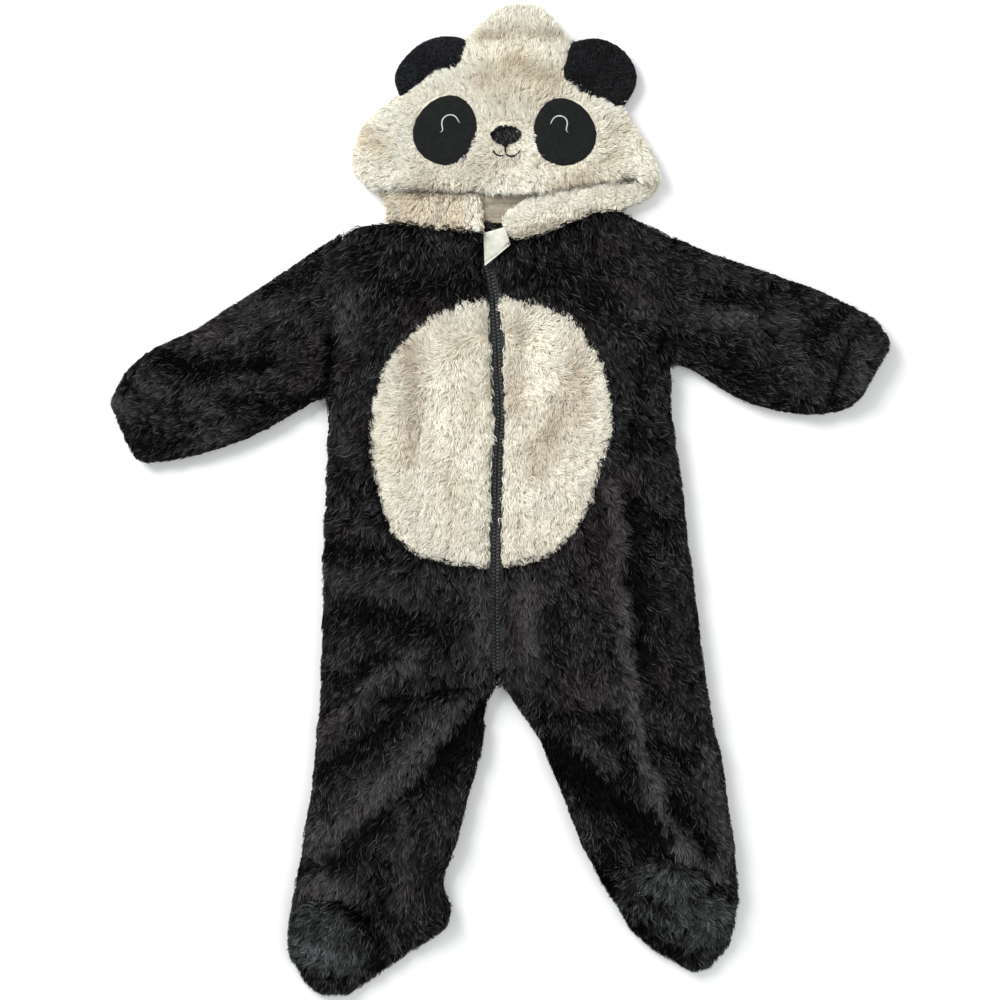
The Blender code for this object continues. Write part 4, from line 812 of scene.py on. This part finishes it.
# Each round patch on the face: centre x, y, half width, half height, turn in degrees.
EYE_PATCH_RIGHT = (-45.5, 313.5, 27.0, 30.0, -20.0)
EYE_PATCH_LEFT = (54.0, 312.0, 26.5, 29.0, 16.0)
NOSE = (4.5, 310.5, 13.0, 8.0, 0.0)
# A point on an ear's root line, the way into the hood, how far the root reaches that way,
# how much further it bulges at a place along the line, and from where and how soon the
# root's edge curves back towards its ends.
EAR_ROOTS = {
    "ear_right": ((-58, 366), (0.665, -0.746), 8.0, 6.5, 17, 0, 26),
    "ear_left": ((78, 352), (-0.72, -0.69), 9.0, 5.5, -24, -5, 11),
}
EAR_HALF = 33                 # half an ear's width at its root, millimetres
ROOT_HIDES = 2.6              # pile reaches this far under the edge of an ear's root
MOUTH = [                     # the mouth's three lines of stitches
    [(4.5, 303.0), (4.6, 299.0), (4.3, 293.6)],
    [(-5.6, 296.2), (-3.6, 292.6), (-0.4, 291.2), (3.0, 291.8)],
    [(4.6, 293.6), (7.2, 291.2), (10.6, 290.8), (13.6, 292.0), (16.6, 296.0)],
]


def share_of_patch(xy, patch):
    """How far out from a patch's centre a spot lies, as a share of its half sizes."""
    x, y, half_width, half_height, turn = patch
    offset = turned(xy / MM - (x, y), np.full(len(xy), -np.radians(turn)))
    return np.linalg.norm(offset / (half_width, half_height), axis=1)


def beyond_patches(xy):
    """Distance out from the nearest patch of the face or stitch of the mouth, in mm."""
    away = [(share_of_patch(xy, patch) - 1) * patch[3]
            for patch in (EYE_PATCH_RIGHT, EYE_PATCH_LEFT, NOSE)]
    for line in MOUTH:
        away.append(-1.2 * np.log(np.maximum(marked(xy, [(1, 1.2, *line)]), 1e-3)) - 0.6)
    return np.min(away, axis=0)


def ear_reach(xy, node):
    """Where spots lie about an ear's root, all in millimetres: along its line, past the
    line into the hood, and how far the ear reaches there (a reach with a rounded bulge)."""
    root, way, reach, bulge, place, _, _ = EAR_ROOTS[node]
    along = (xy / MM - root) @ np.array((-way[1], way[0]))
    past = (xy / MM - root) @ np.array(way)
    return along, past, reach + bulge * np.exp(-(((along - place) / 11) ** 2))


def beyond_ears(xy):
    """Distance in millimetres from the nearer ear's edge, positive into the hood. The edge
    curves back as a parabola, and the square of what lies past the ear's width is added."""
    away = np.full(len(xy), np.inf)
    for node in EAR_ROOTS:
        along, past, reach = ear_reach(xy, node)
        middle, curve = EAR_ROOTS[node][5:]
        past = past - reach + ROOT_HIDES + ((along - middle) / curve) ** 2
        away = np.minimum(away, past + np.maximum(np.abs(along) - EAR_HALF, 0) ** 2)
    return away


def under_patches(xy):
    """True for spots that a patch, a stitch or an ear's root covers: no pile grows there."""
    return (beyond_patches(xy) < -0.4) | (beyond_ears(xy) < 0)


def trimmed_at_patches(xy):
    """Pile is trimmed close round the patches and ears, so that it hardly covers them."""
    nearest = np.minimum(beyond_patches(xy), 1.3 * beyond_ears(xy))
    return 0.42 + 0.58 * np.clip(nearest / 9, 0, 1)


def out_of_face(xy):
    """The hood's pile fans out from the middle of the face and away from each patch, and
    over the nose's upper edge."""
    way = unit(xy - np.array([4.5, 300]) * MM) + (0, -0.15)
    for patch in (EYE_PATCH_RIGHT, EYE_PATCH_LEFT, NOSE):
        off = np.clip(1.6 - share_of_patch(xy, patch), 0, 1)
        if patch is NOSE:
            off *= np.where(xy[:, 1] > (NOSE[1] + 2) * MM, -2, 1)
        way += 1.1 * off[:, None] * unit(xy - np.array(patch[:2]) * MM)
    return way


def out_of_roll(xy):
    """The rolled strip's pile stands away from the roll's crest on both of its sides."""
    crest = np.interp(xy[:, 0], np.array([4, 20, 51, 80, 104, 130]) * MM,
                      np.array([232, 239, 250, 257, 260, 262]) * MM)
    return np.stack([np.full(len(xy), -0.45), (xy[:, 1] - crest) / (9 * MM)], axis=1)


def out_of_side(xy):
    """The right side's pile parts to both sides, less to its free edge, and hangs down over
    the neck's seam."""
    apart = np.clip((xy[:, 0] + 52 * MM) / (30 * MM), -1.2, 0.3)
    return np.stack([apart, np.full(len(xy), -0.8)], axis=1)


BINDING_END = [(-23.4, 229.9), (-16.5, 229.2)]    # the end of the neck's binding shows here
BINDING_HALF = (4.0, 4.5)     # half the width and height that it keeps free of pile


def under_tabs(xy):
    """True for spots that the zip's guard or the end of the neck's binding covers."""
    away = np.abs(xy / MM - np.mean(BINDING_END, axis=0))
    return under_guard(xy) | (away < BINDING_HALF).all(axis=1)


hood_back, hood_face, hood_side_right, hood_side_left = (
    cloth(node, cream_knit, folds=HOOD_FOLDS)
    for node in ("hood_back", "hood_face", "hood_side_right", "hood_side_left"))
# The hood's fleece is a little whiter than the belly's.
hood_pile = pile_material("hood_pile", root=(0.58, 0.52, 0.39), middle=(0.825, 0.79, 0.66),
                          tip=(0.945, 0.945, 0.86), stain_and_shade_colour=(0.80, 0.72, 0.63),
                          patch=(0.94, 0.89, 0.82), patch_share=0.4, tones=(0.80, 1.08),
                          roughness=0.7, gloss=0.25)
hood = {"material": hood_pile, "slot": "cream_fleece", "painted_fold_shading": 0.7, "mottle": 0.35,
        "folds": HOOD_FOLDS, "painted_shading": HOOD_PAINTED_SHADE}
pile_hood_face = pile("pile_hood_face", [hood_face], 54000, out_of_face, seed=51,
                      length=7.8 * MM, width=0.64 * MM, rise=0.33, bare=under_patches,
                      curl=0.13, tangle=0.3, lock=3.2 * MM,
                      shorter=trimmed_at_patches, stains_and_shade=HOOD_TINT_AND_SHADE, held=5 * MM, **hood)
pile_hood_back = pile("pile_hood_back", [hood_back], 5200, away_from(4, 300), seed=52,
                      under=1.0, rise=0.25, width=1.4 * MM, **hood)
pile_hood_side_right = pile("pile_hood_side_right", [hood_side_right], 5200, out_of_side,
                            seed=53, length=7.0 * MM, stains_and_shade=SIDE_TINT_AND_SHADE, all_stained=0.8,
                            bare=under_tabs, **hood)
pile_hood_side_left = pile("pile_hood_side_left", [hood_side_left], 10000, out_of_roll,
                           seed=54, length=4.2 * MM, unrest=0.25, stains_and_shade=ROLL_STAINS,
                           bare=under_guard, **hood)

# ---------------------------------------------------------------------------------
# Hood lining: smooth beige jersey, seen only where the hood's mouth opens. Two seams run
# across it and pull it into shallow tucks.
LINING_TUCKS = [              # as the folds: rise, half width, points of the line
    (-3.4, 1.3, (-30, 250.2), (34, 251.0)), (2.6, 3, (-30, 246), (30, 247)),
    (-2.8, 1.2, (-30, 238.6), (20, 239.0)), (2.2, 3, (-28, 255), (34, 257)),
    (-1.8, 2.5, (-2, 270), (0, 258)), (1.3, 3, (10, 268), (12, 256)),
]
TUCK_SHARE = 0.65             # share of a tuck's rise that the taut jersey keeps
TUCK_LIMITS = (-1.9, 1.5)     # millimetres down and up, so that it stays off its lower side


def tucked(points):
    """The lining's upper side moved by a share of its tucks' rise, within its thickness."""
    made = points.copy()
    rise = TUCK_SHARE * folded(points[:, :2], LINING_TUCKS)
    made[:, 2] += np.clip(rise, *TUCK_LIMITS) * MM * (points[:, 2] > SEAM_Z + SLACK)
    return made


jersey = knitted("beige_jersey", (0.365, 0.32, 0.245), (0.29, 0.25, 0.19), loop_scale=1400,
                 loop_depth=0.2 * MM)
hood_lining = cloth("hood_lining", jersey, longest=0.75 * MM, rounds=7,
                    folds=(), soften=1, reshape=tucked)

# ---------------------------------------------------------------------------------
# Ears: two rounds of short black plush each, sewn together, turned and lightly filled.
# They are caught in the hood's seam and their roots lie over the hood's edge.
ROOT_FADE = 16                # millimetres out from its root's line to where an ear lies free
EAR_UNDERSIDE = 1.5 * MM      # what lies below this stays down on the floor


def over_the_hood(points, node):
    """Points of an ear near its root drawn over the hood's edge by a share of the root's
    reach, which grows from none where the ear lies free to all of it at the root's line,
    and raised above the hood by about as much."""
    made = points.copy()
    _, near, reach = ear_reach(points[:, :2], node)
    share = np.clip((near + ROOT_FADE) / ROOT_FADE, 0, 1) ** 1.5
    made[:, :2] += (share * reach * MM)[:, None] * np.array(EAR_ROOTS[node][1])
    made[:, 2] += share * 1.05 * reach * MM * (points[:, 2] > EAR_UNDERSIDE)
    return made


plush_knit = knitted("plush_knit", (0.005, 0.005, 0.006), (0.003, 0.003, 0.003))
# The ear plush's patch colour is a painted sheen: bluish-grey highlights in soft patches, where
# the velvet catches the light.
ear_plush = pile_material("ear_plush", root=(0.002, 0.002, 0.002),
                          middle=(0.006, 0.006, 0.007), tip=(0.020, 0.021, 0.024),
                          stain_and_shade_colour=(1, 1, 1), patch=(1.5, 1.6, 1.8), patch_share=0.8,
                          tones=(0.3, 1.8), roughness=0.6, gloss=0.1)
for number, node in enumerate(EAR_ROOTS):
    ear = cloth(node, plush_knit, longest=3.5 * MM, folds=(),
                reshape=lambda points: over_the_hood(points, node))
    pile(f"pile_{node}", [ear], 7500, away_from(*EAR_ROOTS[node][0]), ear_plush, "ear_plush",
         61 + number, length=3.2 * MM, width=0.65 * MM, under=0.4, unrest=0.9, lock=1.8 * MM,
         folds=(), curl=0.15)

# ---------------------------------------------------------------------------------
# Face: eye patches and a nose cut from smooth dark plush and sewn on flat, a closed eye
# in white thread on each patch, and a mouth in dark thread.
CLOSED_EYES = [
    [(-51.3, 311.1), (-48.6, 313.4), (-49.0, 320.4), (-45.3, 325.0), (-39.3, 325.3),
     (-33.8, 318.8)],
    [(42.3, 317.7), (45.3, 322.8), (51.6, 324.9), (56.6, 321.0), (56.2, 314.0), (58.3, 310.8)],
]
PATCH_SOLID_TOP = 19.4 * MM   # level of the patches' upper side in the solids
# The same level once the cloth is sunk by the depth of the pile.
PATCH_TOP = SEAM_Z + (PATCH_SOLID_TOP - SEAM_Z) * (1 - PILE_DEPTH / CROWN)


def joined_tubes(name, rings, material):
    """Many small closed tubes in one mesh. rings holds, for each tube, its cross sections
    in order and the points round each; neighbours are joined and both ends are closed."""
    count, rows, cols, _ = rings.shape
    start = np.arange(count)[:, None, None] * rows * cols
    row, col = np.arange(rows - 1)[:, None] * cols, np.arange(cols)[None]
    a, b = start + row + col, start + row + (col + 1) % cols
    quads = np.stack([a, b, b + cols, a + cols], axis=-1).reshape(-1, 4)
    caps = np.concatenate([start[:, 0] + np.arange(cols)[::-1],
                           start[:, 0] + (rows - 1) * cols + np.arange(cols)])
    mesh = bpy.data.meshes.new(name)
    mesh.from_pydata(rings.reshape(-1, 3).tolist(), [], quads.tolist() + caps.tolist())
    bm = bmesh.new()
    bm.from_mesh(mesh)
    bmesh.ops.recalc_face_normals(bm, faces=bm.faces)
    bm.to_mesh(mesh)
    bm.free()
    mesh.polygons.foreach_set("use_smooth", np.ones(len(mesh.polygons), bool))
    made = new_object(name, mesh, material)
    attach(made, "root")
    return made


def thread_rings(line, half_width, height, level, stitch=1.3 * MM, rows=60, cols=8):
    """Close stitches along a smooth line: a curve fitted through its points carries an
    ellipse that narrows to both ends and swells and pinches once for every stitch."""
    line = np.array(line) * MM
    run = np.concatenate([[0], np.cumsum(np.linalg.norm(np.diff(line, axis=0), axis=1))])
    order = min(len(line) - 1, 5)
    t = np.linspace(0, 1, rows)
    xy = np.stack([np.polyval(np.polyfit(run / run[-1], line[:, k], order), t)
                   for k in (0, 1)], axis=1)
    side = unit(np.gradient(xy, axis=0))[:, ::-1] * (-1, 1)
    swell = 0.82 + 0.18 * np.abs(np.sin(np.pi * t * run[-1] / stitch))
    swell = swell * np.clip(1 - np.abs(2 * t - 1) ** 7, 0.02, 1)
    angle = np.linspace(0, 2 * np.pi, cols, endpoint=False)
    rings = np.zeros((rows, cols, 3))
    across, up = half_width * np.cos(angle), height * np.sin(angle)
    rings[..., :2] = xy[:, None] + side[:, None] * (swell[:, None] * across)[..., None]
    rings[..., 2] = level(xy)[:, None] + swell[:, None] * up
    return rings


def narrow_nose(points):
    """The nose's outline drawn in below its middle, to a blunt point above the mouth."""
    made = points.copy()
    below = np.clip((NOSE[1] - points[:, 1] / MM) / NOSE[3], 0, 1)
    made[:, 0] = NOSE[0] * MM + (points[:, 0] - NOSE[0] * MM) * (1 - 0.45 * below ** 1.4)
    made[:, 1] -= (0.8 + 1.2 * below) * MM
    return made


def patch_level(xy):
    """Height of the patches' upper surface: their sunk level and the rise of the folds."""
    return PATCH_TOP + folded(xy, HOOD_FOLDS) * MM


plush = knitted("smooth_plush", (0.0115, 0.0125, 0.012), (0.0075, 0.008, 0.008),
                loop_scale=1600, loop_depth=0.15 * MM)
white_thread = knitted("white_thread", (0.60, 0.61, 0.59), (0.42, 0.43, 0.42), loop_scale=2500,
                       loop_depth=0.15 * MM)
dark_thread = knitted("dark_thread", (0.014, 0.013, 0.013), (0.007, 0.007, 0.007),
                      loop_scale=2500, loop_depth=0.15 * MM)
for node, patch in (("eye_patch_right", EYE_PATCH_RIGHT), ("eye_patch_left", EYE_PATCH_LEFT),
                    ("nose_patch", NOSE)):
    piece = cloth(node, plush, longest=3 * MM, folds=HOOD_FOLDS, soften=0,
                  reshape=narrow_nose if patch is NOSE else None)
pile("nose_stitches", [piece], 900, toward(0.25, -1), foot_pile, "patch_plush", 63,
     length=3.6 * MM, width=0.7 * MM, rise=0.12, unrest=0.4, lock=1.5 * MM, folds=())
eyes = [thread_rings(line, 0.62 * MM, 0.45 * MM, patch_level) for line in CLOSED_EYES]
joined_tubes("closed_eyes", np.stack(eyes), white_thread)
mouth = [thread_rings(line, 0.85 * MM, 0.7 * MM, lambda xy: patch_level(xy) + 0.7 * MM)
         for line in MOUTH]
joined_tubes("mouth_stitches", np.stack(mouth), dark_thread)

# ---------------------------------------------------------------------------------
# Zip: two charcoal woven tapes with a moulded coil along their inner edges, closed from
# the crotch to the slider, which lies under the guard at the neck with its pull.
TOOTH_PITCH = 3.0 * MM
TOOTH = (1.35, 0.56, 0.9)     # half sizes of one tooth: across, along and up, millimetres
TOOTH_OFF = 1.9 * MM          # how far each tooth's middle lies off the zip's middle line
TOOTH_Z = 9.6 * MM            # level of the teeth's middles


def woven_tape():
    """Woven tape: ribs that run along it, crossed by fine picks, in dark grey-green."""
    made, nodes, links, shader = plain_material("charcoal_tape", (0.022, 0.026, 0.026), 0.7)
    spot = shader_node(nodes, "TexCoord")
    ribs = shader_node(nodes, "TexWave", Scale=130, Distortion=1.5)
    picks = shader_node(nodes, "TexNoise", Scale=900)
    both, half = (shader_node(nodes, "Math") for _ in range(2))
    both.operation, half.operation = "ADD", "MULTIPLY"
    half.inputs[1].default_value = 0.5
    shade = colour_ramp(nodes, (0, (0.009, 0.0105, 0.0105)), (1, (0.029, 0.034, 0.033)))
    rise = shader_node(nodes, "Bump", Strength=0.7, Distance=0.3 * MM)
    wire(links, (spot, "Object", ribs, "Vector"), (spot, "Object", picks, "Vector"),
         (ribs, "Fac", both, 0), (picks, "Fac", both, 1), (both, "Value", half, 0),
         (half, "Value", shade, "Fac"), (shade, "Color", shader, "Base Color"),
         (both, "Value", rise, "Height"), (rise, "Normal", shader, "Normal"))
    return made


def worn_metal(name, colour, scuffs_and_glints, roughness, metallic):
    """Painted or moulded hard surface: faint scuffs in colour and roughness. On the zip's coil
    the lighter colour is also a painted highlight on the teeth.
    """
    made, nodes, links, shader = plain_material(name, colour, roughness)
    shader.inputs["Metallic"].default_value = metallic
    spot = shader_node(nodes, "TexCoord")
    scuffs = shader_node(nodes, "TexNoise", Scale=700, Detail=5)
    shade = colour_ramp(nodes, (0.4, colour), (0.8, scuffs_and_glints))
    rough = shader_node(nodes, "MapRange", To_Min=roughness - 0.1, To_Max=roughness + 0.2)
    wire(links, (spot, "Object", scuffs, "Vector"), (scuffs, "Fac", shade, "Fac"),
         (scuffs, "Fac", rough, "Value"), (shade, "Color", shader, "Base Color"),
         (rough, "Result", shader, "Roughness"))
    return made


def down_to_crotch(points):
    """The tape's last 20 mm drawn down by up to 11 mm, to be caught in the crotch's seam."""
    made = points.copy()
    made[:, 1] -= 11 * MM * np.clip((-117 - points[:, 1] / MM) / 20, 0, 1)
    return made


tape = woven_tape()
for node, under_tape in (("zip_tape_right", back_right), ("zip_tape_left", back_left)):
    piece = cloth(node, tape, longest=4 * MM, soften=0, folds=(),
                  reshape=down_to_crotch)

line = np.array(ZIP_LINE[::-1]) * MM
along = np.arange(line[0, 1] + 1 * MM, line[-1, 1] + 6 * MM, TOOTH_PITCH / 2)
hand = np.where(np.arange(len(along)) % 2, 1.0, -1.0)
t, around = np.linspace(-1, 1, 5), np.linspace(0, 2 * np.pi, 6, endpoint=False)
thick = np.sqrt(np.maximum(1 - np.abs(t) ** 3, 0.04))
teeth = np.zeros((len(along), len(t), len(around), 3))
teeth[..., 0] = (np.interp(along, line[:, 1], line[:, 0]) + TOOTH_OFF * hand)[:, None, None]
teeth[..., 0] += (t * TOOTH[0] * MM)[:, None]
teeth[..., 1] = along[:, None, None] + thick[:, None] * np.cos(around) * TOOTH[1] * MM
teeth[..., 1] += (hand[:, None] * t * 0.25 * MM)[..., None]
teeth[..., 2] = TOOTH_Z + thick[:, None] * np.sin(around) * TOOTH[2] * MM
# The coil's lighter colour is partly scuffs and partly painted highlights on the teeth.
coil = worn_metal("moulded_coil", (0.055, 0.064, 0.061), (0.19, 0.21, 0.20), 0.35, 0.0)
joined_tubes("zip_coil", teeth, coil)

dark_metal = worn_metal("dark_metal", (0.030, 0.031, 0.033), (0.10, 0.10, 0.105), 0.38, 0.85)
cloth("zip_slider", dark_metal, longest=2 * MM, folds=(), soften=1)
cloth("zip_pull", dark_metal, longest=2 * MM, folds=(), soften=1)

# ---------------------------------------------------------------------------------
# Zip guard: a folded tab of off-white cotton sewn over the zip's top end, with a hem
# along its lower side. A crease crosses it where it was pressed. The end of the same
# cotton's binding round the neck shows beside it, at the hood's side.
GUARD_FOLDS = [
    (-0.9, 1.0, (-13.5, 200.5), (-2, 208), (8.3, 217.5)), (0.8, 2.2, (-6, 225), (4, 216)),
    (-0.7, 2.0, (-9, 222), (0, 212)), (0.5, 0.9, (-13.0, 198.5), (-1.4, 206.2), (9, 215.5)),
]
cotton = knitted("white_cotton", (0.665, 0.66, 0.575), (0.565, 0.56, 0.48), loop_scale=1800,
                 loop_depth=0.2 * MM)
guard = cloth("zip_guard", cotton, longest=1.5 * MM, folds=GUARD_FOLDS,
              soften=1)
BINDING_Z = 15.8 * MM         # level of the binding's end, above the pile round it
binding = thread_rings(BINDING_END, 3.3 * MM, 0.6 * MM,
                       lambda xy: np.full(len(xy), BINDING_Z), stitch=7.0 * MM)
joined_tubes("neck_binding", binding[None], cotton)
